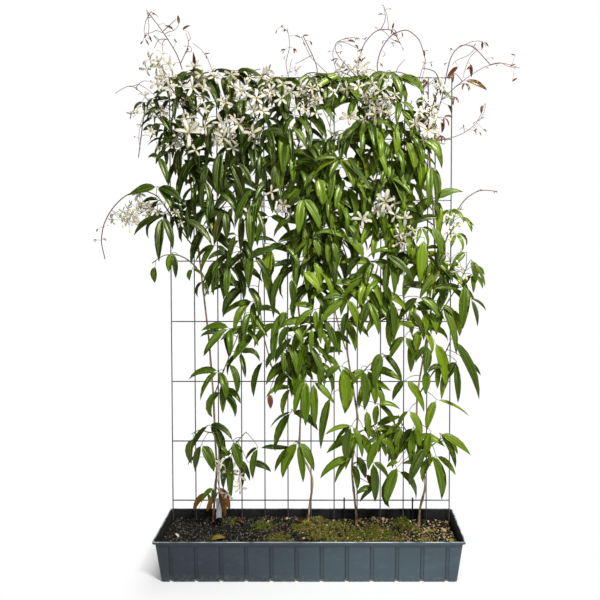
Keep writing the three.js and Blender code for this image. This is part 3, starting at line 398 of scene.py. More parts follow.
def crumb_skin(draw, count):
    """Bark, grit and perlite strewn on the soil, mostly 2 to 6 mm. Their tone goes from dark bark to white, paler
    to the right."""
    x, y = draw.uniform(-0.478, 0.478, count), draw.uniform(-0.084, 0.084, count)
    height, cover = mossy(x, y)
    kept = (height < 0.012) & ((cover < 0.5) | (draw.random(count) < 0.55))
    x, y, cover, count = x[kept], y[kept], cover[kept], kept.sum()
    size = (0.0007 + 0.0023 * draw.random(count) ** 3) * np.interp(x, [-0.1, 0.25], [1.0, 1.03])
    lift = size * 0.4 + cover * draw.uniform(0.0005, 0.0035, count)
    pale = draw.random(count) ** np.interp(x, [-0.3, 0.0, 0.3], [1.6, 0.70, 0.29])
    marks = marked((count,), tone=pale * np.interp(x, [-0.25, 0.15], [0.86, 1.0]), chance=draw.random(count),
                   age=np.interp(x, [-0.25, 0.05], [0.8, 0.0]))
    return lumps(np.stack([x, y, soil_height(x, y) + lift], 1), size, draw, marks[:, None, None])


def moss_skin(draw, count):
    """Moss leaves: upright spikes of four sides on the cushions, 3 to 8 mm high, some of them dry."""
    x, y = draw.uniform(-0.47, 0.47, 12 * count), draw.uniform(-0.083, 0.083, 12 * count)
    height, cover = mossy(x, y)
    chosen = np.flatnonzero(draw.random(12 * count) < cover * 0.8)[:count]
    x, y, height = x[chosen], y[chosen], height[chosen]
    n = len(x)
    foot = np.stack([x, y, soil_height(x, y) - 0.001], 1)
    tall = draw.uniform(0.003, 0.006, n) * (1 + 30 * height)
    tip = foot + np.stack([draw.normal(0, 0.3, n), draw.normal(0, 0.3, n), np.ones(n)], 1) * tall[:, None]
    a = np.arange(4) * np.pi / 2 + draw.uniform(0, 1.5, (n, 1))
    around = np.stack([np.cos(a), np.sin(a), 0 * a], -1)[:, None] * [[[0.0006]], [[0.0009]]]
    levels = np.stack([foot, (foot + tip) / 2], 1)[:, :, None] + around
    dry = np.interp(x, [-0.2, 0.03, 0.12, 0.17, 0.34, 0.38], [0.0, 0.30, 0.08, 0.0, 0.0, 0.35])
    marks = marked((n, 2, 4), along=[[0], [0.7]], tone=np.clip(0.75 * draw.random(n) + dry, 0, 1)[:, None, None],
                   age=np.clip(height * 30, 0, 1)[:, None, None])
    return skin(levels, foot, tip, marks)


def pebble_skin(draw):
    """Water-worn pebbles: an uneven ball of six rings of nine corners, half sunk in the soil."""
    x, y, r = np.array(PEBBLES).T
    n = len(x)
    up = np.linspace(-1.1, 1.1, 6)[:, None]
    a = np.arange(9) * 2 * np.pi / 9
    ball = np.stack([np.cos(up) * np.cos(a), np.cos(up) * np.sin(a), np.sin(up) * 0.7 + 0 * a], -1)
    swell = 1 + 0.1 * draw.normal(0, 1, (n, 6, 9, 1))
    centre = np.stack([x, y, soil_height(x, y) + r * 0.25], 1)
    rings = centre[:, None, None] + ball[None] * swell * r[:, None, None, None]
    top = np.array([0, 0, 0.72]) * r[:, None]
    return skin(rings, centre - top, centre + top, marked((n, 1, 1), tone=0.93, chance=draw.random((n, 1, 1))))


def compost(shade):
    cover, _, _ = shade.mark("place")
    fleck = shade.grain(0.0035, 3)
    earth = fleck.ramp((0.40, "080807"), (0.54, "12110f"), (0.61, "26231c"), (0.68, "7a6e50"), (0.76, "ccbd98"))
    damp = shade.grain(0.09, 3).step(0.38, 0.62)
    earth = (damp * 0.45).blend(earth, "0b0a09")
    moss = shade.grain(0.012, 3).step(0.3, 0.7).blend("1d2206", "666216")
    straw = shade.grain(0.005, 3).step(0.50, 0.66)
    moss = (straw * 0.7).blend(moss, "9c8654")
    mix = cover * shade.grain(0.006, 3).step(0.34, 0.58)
    return {"Base Color": mix.blend(earth, moss), "Roughness": 0.95, "Specular IOR Level": 0.15,
            "Normal": shade.bump(fleck + 0.6 * shade.grain(0.0015, 2), 0.0016)}


def grit(shade):
    tone, grey, chance = shade.mark("tint")
    body = tone.ramp((0.0, "0b0a09"), (0.42, "232018"), (0.60, "574b2c"), (0.80, "a08552"), (0.95, "c4ab7c"),
                     (1.0, "e9dfc6"))
    body = (grey * tone.step(0.98, 0.8)).blend(body, (tone * 0.75).blend("101112", "8f8e86"))
    body = (shade.grain(0.002, 2).step(0.4, 0.8) * 0.35).blend(body, "2b241c")
    return {"Base Color": body, "Roughness": 0.85 + 0.1 * chance, "Specular IOR Level": 0.25,
            "Normal": shade.bump(shade.grain(0.0012, 2), 0.0004)}


def moss_green(shade):
    along, _, _ = shade.mark("place")
    tone, tall, _ = shade.mark("tint")
    body = tone.ramp((0.0, "2b3804"), (0.48, "657c0a"), (0.78, "968e3e"), (1.0, "d2bc80"))
    body = (tall * 0.9).blend(body, "2f5403")
    body = (tall * along * tone.step(0.65, 0.9)).blend(body, "8f6a1c")
    # painted shade: each moss leaf is painted darker towards its foot, down in the cushion
    body = ((1 - along) * 0.5).blend(body, "20240c")
    return {"Base Color": body, "Roughness": 0.8, "Specular IOR Level": 0.2,
            "Normal": shade.bump(shade.grain(0.001, 2), 0.0002)}


draw = np.random.default_rng(11)
grit_finish = finish("grit", grit)
made("soil_bed", [(soil_skin(), finish("compost", compost))], ["soil"])
made("soil_dressing", [(crumb_skin(draw, 7000), grit_finish), (pebble_skin(draw), grit_finish)])
made("moss", [(moss_skin(draw, 4200), finish("moss", moss_green))])

# ---------------------------------------------------------------- trellis
# A mesh of dull galvanised 4 mm steel wire, thirteen uprights with eight level wires welded across their backs. The
# uprights stand in the soil, and three moulded black strips hook the lowest wire down. A blank white plant label
# is stuck in the soil by the first stem.

WIRE = 0.002  # radius
UPRIGHT_X = (np.arange(13) - 6) * PITCH
UPRIGHT_Y, LEVEL_Y = 0.076, 0.0792
LEVEL_Z = 1.654 - np.arange(8) * 0.210
UPRIGHT_TOP, LEVEL_END = 1.656, 0.4856


def along_path(paths, radii, sides, marks):
    """Round profiles carried along paths, an array (path, station, xyz). Ring k is path point k plus
    radius (cos a side + sin a over), where side and over stay square to the path and turn with it as little as they
    can. radii is one number for each station, or one for each corner. Each end closes on a pole."""
    forward = unit(np.gradient(paths, axis=1))
    side = np.empty_like(forward)
    start = np.where(np.abs(forward[:, 0, 2:]) > 0.8, [[1.0, 0, 0]], [[0, 0, 1.0]])
    side[:, 0] = unit(np.cross(forward[:, 0], start))
    for k in range(1, paths.shape[1]):
        lost = (side[:, k - 1] * forward[:, k]).sum(-1, keepdims=True) * forward[:, k]
        side[:, k] = unit(side[:, k - 1] - lost)
    over = np.cross(forward, side)
    a = np.arange(sides) * 2 * np.pi / sides
    radii = np.atleast_2d(radii)
    radii = radii[..., None] if radii.ndim == 2 else radii
    out = np.cos(a)[:, None] * side[:, :, None] + np.sin(a)[:, None] * over[:, :, None]
    return skin(paths[:, :, None] + radii[..., None] * out, paths[:, 0], paths[:, -1], marks)


def wire_skin(starts, ends, stations):
    """Straight wires with a turned-over end: the profile narrows in the last half millimetre."""
    share = np.concatenate([[0, 0.0006], np.linspace(0.004, 0.996, stations), [0.9994, 1]])
    paths = starts[:, None] + (ends - starts)[:, None] * share[:, None]
    radii = np.full(len(share), WIRE)
    radii[[0, -1]] *= 0.6
    return along_path(paths, radii, 10, marked((1, len(share), 10), along=share[:, None]))


def weld_skin():
    """A nugget of fused metal at each crossing: a small flattened ball of rings of six corners."""
    x, z = [v.ravel() for v in np.meshgrid(UPRIGHT_X, LEVEL_Z)]
    centre = np.stack([x, 0 * x + (UPRIGHT_Y + LEVEL_Y) / 2, z], 1)
    paths = centre[:, None] + np.array([[0, 0, -1], [0, 0, -0.6], [0, 0, 0.6], [0, 0, 1]]) * 0.0024
    return along_path(paths, [0.0006, 0.0021, 0.0021, 0.0006], 6, 0)


def galvanised(shade):
    body = shade.grain(0.006, 2).step(0.3, 0.7).blend("4c4e51", "76787b")
    bloom = shade.grain(0.03, 4, (1, 1, 2)).step(0.52, 0.72)
    return {"Base Color": (bloom * 0.6).blend(body, "7b7468"), "Metallic": 0.55, "Roughness": 0.38 + 0.3 * bloom,
            "Normal": shade.bump(shade.grain(0.001, 2), 0.00015)}


def black_strip(shade):
    body = shade.grain(0.01, 2).step(0.3, 0.8).blend("141518", "2b2d31")
    return {"Base Color": body, "Roughness": 0.4 + 0.2 * shade.grain(0.004, 2),
            "Normal": shade.bump(shade.grain(0.0008, 2), 0.0001)}


def label_plastic(shade):
    smear = shade.grain(0.03, 3).step(0.45, 0.75)
    return {"Base Color": (smear * 0.5).blend("e8e8ee", "b8b6ad"), "Roughness": 0.35 + 0.2 * smear,
            "Normal": shade.bump(shade.grain(0.002, 2), 0.0001)}


feet = np.where(np.abs(UPRIGHT_X) > 0.45, 0.100, 0.060)  # the two outer uprights end higher in the soil
upright_ends = [np.stack([UPRIGHT_X, 0 * UPRIGHT_X + UPRIGHT_Y, z], 1) for z in (feet, 0 * feet + UPRIGHT_TOP)]
level_ends = [np.stack([0 * LEVEL_Z + x, 0 * LEVEL_Z + LEVEL_Y, LEVEL_Z], 1) for x in (-LEVEL_END, LEVEL_END)]
zinc = finish("galvanised_wire", galvanised)
wires = [wire_skin(*upright_ends, 22), wire_skin(*level_ends, 16), weld_skin()]
made("trellis_wires", [(part, zinc) for part in wires], ["trellis"])
for name in ("trellis_clip_1", "trellis_clip_2", "trellis_clip_3", "plant_label"):
    look = label_plastic if name == "plant_label" else black_strip
    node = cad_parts[name]
    node.data.materials.clear()
    node.data.materials.append(finish(name + "_finish", look))

# ---------------------------------------------------------------- stems
# Four woody stems climb the trellis. Their bark is tan-brown and splits lengthwise into loose fibrous strips. Where
# a pair of leaves once grew there is a swollen joint, and the feet flare a little as they enter the compost.

STEM_NAMES = ["stem_1", "stem_2", "stem_3", "stem_4"]
STEM_RADII = (0.0038, 0.0024)  # at the soil and at the top
BARK_SIDES = 14
JOINT_STEP = 128  # mm between two joints


def merged(node):
    """A CAD node's points and triangles, where the loose triangles' shared corners are made one point."""
    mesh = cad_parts[node].data
    at, corners = np.empty(len(mesh.vertices) * 3), np.empty(len(mesh.loops), int)
    mesh.vertices.foreach_get("co", at)
    mesh.loops.foreach_get("vertex_index", corners)
    at = at.reshape(-1, 3)
    _, first, same = np.unique(np.round(at, 5), axis=0, return_index=True, return_inverse=True)
    return at[first], same.ravel()[corners].reshape(-1, 3)


def length_of(path):
    """A path's length up to each of its points."""
    return np.concatenate([[0], np.cumsum(np.linalg.norm(np.diff(path, axis=0), axis=1))])


def rounded(path, step, passes=2):
    """A path's corners rounded: sampled evenly at about that step, then averaged with its neighbours, ends kept."""
    reach = length_of(path)
    count = max(4, int(round(reach[-1] / step)) + 1)
    at = np.linspace(0, reach[-1], count)
    path = np.stack([np.interp(at, reach, path[:, k]) for k in range(3)], 1)
    for _ in range(passes):
        wide = np.concatenate([2 * path[:1] - path[2:0:-1], path, 2 * path[-1:] - path[-2:-4:-1]])
        path = sum(w * wide[k : k + count] for k, w in enumerate((1, 2, 3, 2, 1))) / 9
    return path


def stem_line(node):
    """A stem's centre line, from the middles of its rings of four corners, lowest first."""
    points, _ = merged(node)
    points = points[np.argsort(points[:, 2])]
    return rounded(points[: len(points) // 4 * 4].reshape(-1, 4, 3).mean(1), 0.012)


def bark_skin(line, seed):
    """The profile carried up a stem. Its radius tapers, swells at each joint and at the foot, and is ribbed round
    the stem by seeded waves that wander with height, which makes the fibrous strips."""
    reach = np.linspace(0, 1, len(line))[:, None]
    a = np.arange(BARK_SIDES) * 2 * np.pi / BARK_SIDES
    height = line[:, 2:]
    taper = STEM_RADII[0] + (STEM_RADII[1] - STEM_RADII[0]) * reach**0.7
    joint = 0.35 * np.exp(-(((height * 1000 + seed * 31) % JOINT_STEP - JOINT_STEP / 2) / 9) ** 2)
    foot = 0.45 * np.exp(-((height - 0.11) / 0.018) ** 2)
    ribs = 0.10 * np.sin(3 * a + 9 * height + seed) + 0.08 * np.sin(5 * a - 14 * height + 2 * seed)
    marks = marked((1, len(line), BARK_SIDES), along=reach, across=a / (2 * np.pi), age=reach)
    return along_path(line[None], (taper * (1 + joint + foot + ribs))[None], BARK_SIDES, marks)


def bark(shade):
    _, age, _ = shade.mark("tint")
    strips = shade.grain(0.0022, 3, (1, 1, 14))
    patch = shade.grain(0.03, 3, (1, 1, 3)).step(0.4, 0.65)
    body = strips.ramp((0.32, "4c3b2d"), (0.46, "8d745a"), (0.58, "bca286"), (0.72, "e2cfb5"))
    body = (patch * 0.35).blend(body, "6a4f3a")
    body = (age.step(0.45, 1.0) * 0.7).blend(body, "5b4a2c")
    return {"Base Color": body, "Roughness": 0.8, "Specular IOR Level": 0.25, "Normal": shade.bump(strips, 0.0010)}


stem_lines = {name: stem_line(name) for name in STEM_NAMES}
bark_finish = finish("fibrous_bark", bark)
for number, (name, line) in enumerate(stem_lines.items()):
    made(name + "_bark", [(bark_skin(line, number + 1), bark_finish)], [name])

# ---------------------------------------------------------------- leafy shoots
# Green vines grow from the stems and bear leaves in pairs, each of up to three long, pointed, hanging leaflets.
# The leaflets are leathery and waxy, channelled along the middle, with three pale veins running lengthwise,
# painted paler on some leaves as a painted sheen along them. Young ends of the vines are thin, wiry and red-brown,
# with small unripe brown leaves. The tables are in millimetres.

VINE_RADII = (0.0026, 0.0014)  # at the foot and at the end
SIDE_RADII = (0.0015, 0.0008)
TWIG_RADII = (0.0011, 0.0007)
STALK_RADII = (0.0013, 0.0009)  # of a leaf's petiole
VINE_STEP = 0.009  # between the stations of a vine
LEAF_STEP = 0.025  # along a vine, from one drawn leaf to the next
PAIR_STEP = 0.042  # along its bare end, between pairs of young leaves
BARE_END = 0.09  # the least that a bare end measures
JOINT_REACH = 0.0052  # corners of a CAD stalk's ring lie closer together than this
HEART = 0.0032  # between the two points where a CAD leaf's leaflets meet
HEART_MISS = 8e-5  # what that distance may be off by
STRAY = 0.0034  # how far a joint may stand off a stalk that counts as straight
DEPTH = (-0.098, 0.178)  # where leaves may reach, front and back
LEAFLETS = (0.118, 0.138)  # usual length of a drawn leaflet, and of one in the middle higher up
BESIDE = 0.022  # leaflets whose middles are closer than this, seen from the front, crowd each other
SPREAD = np.array([  # how far leaves reach to the left and the right at a height: x, x, z
    (-420, 440, 200), (-450, 500, 450), (-420, 530, 650), (-370, 550, 850), (-420, 500, 1020), (-560, 410, 1120),
    (-580, 450, 1300), (-600, 410, 1500), (-500, 420, 1620), (-440, 340, 1720)]) / 1000
OPEN = [  # gaps: x, z, half width, half height
    (165, 735, 100, 55), (-115, 930, 35, 40), (-360, 1040, 55, 35), (370, 620, 40, 40), (300, 500, 50, 30),
    (-189, 1275, 70, 30), (6, 1403, 40, 45)]
CLUMPS = [  # where leaves crowd, likewise
    (0, 740, 100, 100), (290, 900, 90, 80), (130, 1060, 100, 80), (260, 470, 130, 100)]
FRONT = [  # the leaves at the front: where the leaflets meet, x, z, and then each leaflet's tip, x, z, its half width
    # and how light it is, from 0 to 4, or 9 if it is withered
    (-394, 1656, (-427, 1561, 16, 0), (-344, 1614, 20, 0)), (-315, 1653, (-223, 1633, 8, 0)),
    (-489, 1505, (-450, 1449, 12, 0)), (-509, 1475, (-548, 1459, 10, 0)), (-400, 1587, (-371, 1531, 13, 1)),
    (-219, 1561, (-219, 1495, 20, 1)), (-85, 1472, (-85, 1304, 21, 3)), (-131, 1469, (-160, 1403, 13, 1)),
    (100, 1610, (70, 1571, 13, 1), (119, 1558, 20, 1)), (57, 1597, (-2, 1558, 8, 0)), (80, 1564, (47, 1518, 10, 2)),
    (34, 1535, (80, 1475, 12, 2)), (198, 1492, (165, 1423, 12, 3), (241, 1383, 13, 3), (271, 1449, 12, 2)),
    (238, 1574, (287, 1528, 10, 1)), (297, 1522, (337, 1479, 7, 2)), (284, 1482, (284, 1373, 15, 3)),
    (376, 1459, (419, 1472, 10, 0)), (366, 1568, (356, 1525, 13, 1)), (429, 1584, (462, 1558, 8, 1)),
    (-65, 1472, (-6, 1390, 13, 3), (-52, 1344, 10, 0)),
    (96, 1367, (4, 1294, 13, 3), (11, 1350, 10, 2), (142, 1262, 16, 3), (202, 1252, 16, 2)),
    (80, 1347, (63, 1196, 18, 3)), (175, 1456, (165, 1364, 10, 3)), (185, 1449, (251, 1298, 15, 3)),
    (152, 1469, (103, 1396, 13, 1), (119, 1373, 13, 1)), (310, 1466, (369, 1377, 13, 1)),
    (363, 1383, (366, 1258, 18, 3)), (373, 1423, (425, 1360, 23, 3)), (314, 1423, (340, 1324, 20, 4)),
    (392, 1347, (383, 1199, 13, 2), (409, 1209, 16, 2)), (399, 1232, (425, 1173, 12, 2)),
    (346, 1354, (314, 1245, 13, 2)), (267, 1304, (310, 1189, 15, 3), (333, 1242, 16, 2)),
    (409, 1235, (504, 1258, 15, 2)),
    (-22, 1239, (-75, 1199, 12, 1), (-35, 1114, 18, 3), (34, 1130, 18, 2), (-19, 1127, 12, 0)),
    (-22, 1268, (-71, 1206, 12, 2)), (27, 1304, (44, 1209, 23, 3)), (123, 1107, (11, 1114, 12, 3), (175, 1038, 18, 3)),
    (11, 1107, (-52, 1048, 10, 2), (31, 1044, 13, 2), (-22, 1041, 10, 3)), (73, 1097, (90, 1021, 12, 2)),
    (304, 1058, (185, 1041, 12, 2)), (244, 1054, (340, 962, 13, 2)), (376, 1107, (360, 956, 21, 4)),
    (402, 1146, (435, 1048, 18, 2)), (314, 1212, (376, 1173, 18, 1)), (429, 1173, (327, 1137, 12, 2)),
    (235, 1186, (248, 1064, 10, 3)), (172, 1048, (123, 979, 16, 2)),
    (-496, 1275, (-588, 1245, 18, 2), (-446, 1199, 16, 2), (-407, 1222, 16, 1)), (-446, 1219, (-414, 1163, 16, 1)),
    (-479, 1179, (-568, 1114, 13, 1), (-479, 1031, 16, 1), (-440, 1071, 13, 1)), (-410, 1169, (-318, 1081, 16, 1)),
    (-384, 1364, (-420, 1258, 16, 1)), (-381, 1275, (-417, 1219, 13, 1)), (-368, 1298, (-374, 1160, 13, 0)),
    (-493, 1373, (-460, 1285, 12, 1), (-525, 1367, 10, 1)), (-341, 1294, (-344, 1189, 12, 1), (-318, 1209, 10, 1)),
    (-289, 1396, (-298, 1242, 18, 1)), (-266, 1360, (-216, 1225, 16, 1)), (-236, 1354, (-187, 1271, 10, 1)),
    (-183, 1271, (-239, 1140, 16, 2)), (-282, 1196, (-351, 1143, 12, 1), (-318, 1081, 15, 1), (-272, 1097, 15, 1)),
    (-226, 1186, (-226, 1058, 12, 0)), (-190, 1222, (-187, 1064, 21, 2), (-141, 1087, 10, 0)),
    (-312, 1084, (-377, 1028, 10, 1), (-358, 998, 12, 2), (-262, 1025, 10, 2)), (-203, 1064, (-279, 979, 12, 1)),
    (-387, 1005, (-341, 969, 7, 1), (-394, 966, 10, 2)), (-450, 1058, (-456, 995, 12, 3), (-437, 975, 10, 0)),
    (-509, 1015, (-509, 959, 12, 2)), (-239, 1117, (-256, 1044, 10, 1), (-272, 1107, 7, 1)),
    (-98, 1081, (-203, 1028, 12, 2)), (-183, 1051, (-196, 942, 15, 1), (-124, 956, 12, 1)),
    (-124, 1081, (-137, 926, 21, 3)), (-78, 1077, (-32, 1008, 13, 1)), (-335, 1347, (-351, 1278, 13, 1)),
    (-157, 1380, (-157, 1294, 13, 1)), (-196, 1364, (-167, 1321, 16, 1)), (-111, 1347, (-117, 1262, 10, 1)),
    (-157, 1018, (-121, 840, 16, 1)), (-85, 998, (-121, 877, 13, 1)), (-62, 975, (-52, 877, 15, 1)),
    (-22, 998, (34, 929, 20, 4), (-9, 933, 16, 3)), (11, 1031, (37, 942, 15, 4)), (172, 972, (103, 896, 10, 2)),
    (119, 910, (34, 827, 16, 3), (165, 794, 15, 4), (37, 906, 10, 2)), (126, 867, (110, 778, 12, 1)),
    (40, 847, (37, 758, 10, 3), (87, 735, 12, 1)),
    (-6, 758, (-39, 643, 16, 3), (-19, 679, 13, 3), (73, 683, 15, 3), (50, 620, 12, 2)),
    (106, 679, (116, 518, 28, 3), (47, 633, 13, 2), (159, 617, 7, 1)),
    (-12, 643, (-58, 590, 12, 2), (-48, 535, 13, 2), (-12, 502, 18, 3)), (11, 630, (17, 482, 15, 3), (83, 558, 13, 3)),
    (70, 590, (37, 423, 15, 2)), (-62, 525, (-131, 479, 5, 1), (-117, 396, 16, 2), (27, 472, 16, 1)),
    (-75, 867, (-91, 817, 15, 2), (-124, 771, 15, 1)), (-65, 817, (-101, 745, 13, 1), (-22, 752, 15, 2)),
    (-71, 765, (-114, 699, 13, 1)), (8, 811, (4, 732, 10, 1)), (-104, 669, (-55, 630, 10, 0)),
    (-137, 587, (-131, 538, 10, 9)), (192, 900, (165, 791, 12, 1), (225, 794, 13, 2), (202, 821, 10, 1)),
    (264, 900, (274, 775, 15, 1)), (261, 1028, (251, 903, 12, 2), (274, 916, 12, 2)),
    (439, 1002, (360, 906, 16, 2), (439, 880, 15, 2)), (389, 939, (304, 942, 13, 1)), (501, 942, (396, 939, 12, 1)),
    (514, 956, (498, 811, 20, 3)), (531, 906, (547, 817, 8, 1), (580, 867, 7, 1)),
    (531, 1035, (541, 959, 12, 2), (570, 949, 7, 2)), (517, 1061, (462, 1005, 12, 2)),
    (363, 910, (294, 827, 15, 2), (429, 840, 20, 2)), (330, 870, (376, 768, 13, 1)),
    (396, 864, (376, 771, 18, 4), (419, 785, 13, 3)), (435, 887, (485, 827, 13, 2), (475, 729, 16, 2)),
    (314, 781, (258, 702, 12, 1), (350, 699, 16, 1), (261, 732, 8, 1)),
    (389, 755, (373, 660, 18, 2), (346, 699, 10, 1)), (415, 762, (448, 610, 20, 4)), (468, 778, (550, 584, 16, 1)),
    (485, 699, (455, 640, 15, 0), (485, 567, 12, 1)), (514, 702, (564, 653, 7, 1)),
    (241, 722, (202, 666, 10, 2), (212, 610, 18, 2), (304, 633, 13, 1)), (169, 679, (179, 538, 18, 2)),
    (317, 637, (274, 567, 12, 2), (376, 535, 16, 3)), (386, 673, (379, 594, 15, 2)), (435, 686, (386, 666, 10, 1)),
    (307, 817, (356, 814, 13, 3)), (363, 804, (353, 729, 16, 3)), (445, 1061, (419, 1008, 13, 0)),
    (139, 482, (50, 456, 8, 4), (83, 423, 12, 1), (172, 386, 13, 3), (119, 363, 16, 1)),
    (139, 373, (34, 311, 15, 2), (83, 291, 10, 2)), (152, 377, (185, 304, 15, 2)), (185, 317, (205, 271, 10, 9)),
    (175, 479, (225, 439, 13, 1)), (188, 535, (195, 442, 13, 3)),
    (231, 442, (192, 344, 16, 3), (182, 423, 7, 2), (281, 400, 12, 3), (251, 386, 8, 2)),
    (208, 367, (215, 238, 16, 2), (261, 308, 12, 2)), (294, 347, (254, 219, 20, 2)),
    (212, 281, (152, 261, 10, 0), (165, 238, 7, 1)),
    (225, 554, (218, 485, 12, 2), (284, 482, 13, 2), (300, 538, 12, 3)),
    (307, 472, (248, 446, 10, 2), (284, 413, 15, 3)), (327, 538, (366, 462, 15, 3), (287, 485, 10, 2)),
    (346, 475, (340, 363, 15, 3), (366, 410, 16, 3), (297, 390, 12, 1)), (406, 459, (386, 373, 16, 2)),
    (386, 416, (323, 304, 18, 1)), (402, 390, (435, 242, 20, 2)),
    (432, 456, (531, 390, 16, 3), (478, 370, 10, 2), (485, 340, 12, 1)), (402, 350, (304, 360, 12, 1)),
    (422, 567, (386, 469, 15, 3), (531, 512, 7, 4)), (294, 363, (254, 347, 7, 2)), (-391, 439, (-397, 350, 15, 1)),
    (-361, 419, (-381, 334, 12, 1), (-315, 337, 18, 1)),
    (-262, 383, (-308, 370, 10, 1), (-289, 268, 15, 1), (-262, 238, 13, 1)), (-302, 410, (-272, 377, 7, 1)),
    (-256, 436, (-226, 347, 18, 1)), (-236, 367, (-200, 298, 10, 1), (-226, 275, 8, 1)),
    (-173, 410, (-213, 370, 7, 0), (-187, 314, 13, 1)), (-206, 363, (-127, 334, 12, 0)),
    (-62, 406, (-164, 406, 12, 1), (-117, 331, 13, 1)),
    (-39, 426, (-91, 308, 20, 3), (-22, 301, 13, 1), (14, 337, 16, 2)),
    (-318, 278, (-361, 229, 10, 3), (-318, 238, 7, 1)), (-305, 275, (-266, 202, 12, 9))]


def linked(count, triangles):
    """Which points share an edge, as a square table."""
    table = np.zeros((count, count), bool)
    for a, b in ((0, 1), (1, 2), (2, 0)):
        table[triangles[:, a], triangles[:, b]] = table[triangles[:, b], triangles[:, a]] = True
    return table


def fan(triangles, centre):
    """The points round a point, in order, from the triangles that meet there."""
    turned = [np.roll(t, -list(t).index(centre)) for t in triangles[(triangles == centre).any(1)]]
    after = {int(t[1]): int(t[2]) for t in turned}
    ring = [next(iter(after))]
    while after[ring[-1]] != ring[0]:
        ring.append(after[ring[-1]])
    return ring


def stalk_tree(points, table, owned, ends):
    """Joints of a node's stalks and how they hang together. Points that no leaf or flower owns and that lie within
    JOINT_REACH of each other make one joint, at their middle. ends gives the points of each leaf's or flower's own
    joint, which stay apart. Joints that share an edge may be linked, and the shortest links that reach them all
    are kept. Returns the joints' places, the links, and the joint of each end."""
    free = np.flatnonzero(~owned)
    place = points[free]
    group = np.zeros(len(points), int)
    for k, own in enumerate(ends):
        group[own] = k + 1
    group = group[free]
    near = np.linalg.norm(place[:, None] - place[None], axis=2) < JOINT_REACH
    near = (group[:, None] == group) & ((group > 0) | near) | np.eye(len(free), dtype=bool)
    label = np.arange(len(free))
    while True:
        least = np.where(near, label[None], len(free)).min(1)
        if (least == label).all():
            break
        label = least
    kept, label = np.unique(label, return_inverse=True)
    centres = np.array([place[label == k].mean(0) for k in range(len(kept))])
    pairs = np.argwhere(np.triu(table[np.ix_(free, free)], 1))
    pairs = np.unique(np.sort(label[pairs], axis=1), axis=0)
    pairs = pairs[pairs[:, 0] != pairs[:, 1]]
    length = np.linalg.norm(centres[pairs[:, 0]] - centres[pairs[:, 1]], axis=1)
    tree, links = np.arange(len(kept)), {k: [] for k in range(len(kept))}
    for a, b in pairs[np.argsort(length)]:
        if tree[a] != tree[b]:
            tree[tree == tree[a]] = tree[b]
            links[a].append(int(b))
            links[b].append(int(a))
    end_joints = [int(label[np.flatnonzero(free == own[0])[0]]) for own in ends]
    return centres, links, end_joints


def chains(centres, links, end_joints, carriers):
    """A tree of joints split into stalks. The first starts at the free joint nearest a carrier, and each follows the
    longest way on; what it passes by starts a further stalk there. Also gives the joint that bears each end."""
    ends = set(end_joints)
    loose = [k for k, near in links.items() if len(near) == 1 and k not in ends]
    root = min(loose, key=lambda k: np.linalg.norm(carriers - centres[k], axis=1).min())
    parent, order = {root: None}, [root]
    for k in order:
        for other in links[k]:
            if other not in parent:
                parent[other] = k
                order.append(other)
    step = lambda k: np.linalg.norm(centres[k] - centres[parent[k]])
    reach = dict.fromkeys(order, 0.0)
    for k in reversed(order[1:]):
        if k not in ends:
            reach[parent[k]] = max(reach[parent[k]], reach[k] + step(k))
    stalks, starts = [], [(None, root)]
    while starts:
        before, k = starts.pop(0)
        path = [] if before is None else [before]
        while k is not None:
            path.append(k)
            on = [c for c in links[k] if parent.get(c) == k and c not in ends]
            on.sort(key=lambda c: -reach[c] - step(c))
            starts += [(k, c) for c in on[1:]]
            k = on[0] if on else None
        if len(path) > 1:
            stalks.append(centres[path])
    return stalks, [parent.get(k) for k in end_joints]


def straightened(path):
    """Joints that stand less than STRAY off the line between their neighbours are laid onto it."""
    path = path.copy()
    for _ in range(2):
        a, b, p = path[:-2], path[2:], path[1:-1]
        line = b - a
        t = ((p - a) * line).sum(1, keepdims=True) / np.maximum((line * line).sum(1, keepdims=True), 1e-12)
        foot = a + np.clip(t, 0, 1) * line
        path[1:-1] = np.where(np.linalg.norm(p - foot, axis=1, keepdims=True) < STRAY, foot, p)
    return path


def nearest(lines, point):
    """The line and the place on it nearest a point."""
    miss = [np.linalg.norm(line - point, axis=1) for line in lines]
    best = min(range(len(lines)), key=lambda k: miss[k].min())
    return best, int(miss[best].argmin())


def stalk_lines(points, table, owned, ends, carriers):
    """A node's stalks as rounded centre lines, and the place of the joint that bears each end, or None."""
    centres, links, joints = stalk_tree(points, table, owned, ends)
    stalks, bearers = chains(centres, links, joints, carriers)
    lines = [rounded(straightened(path), VINE_STEP) for path in stalks]
    return lines, [None if k is None else centres[k] for k in bearers]


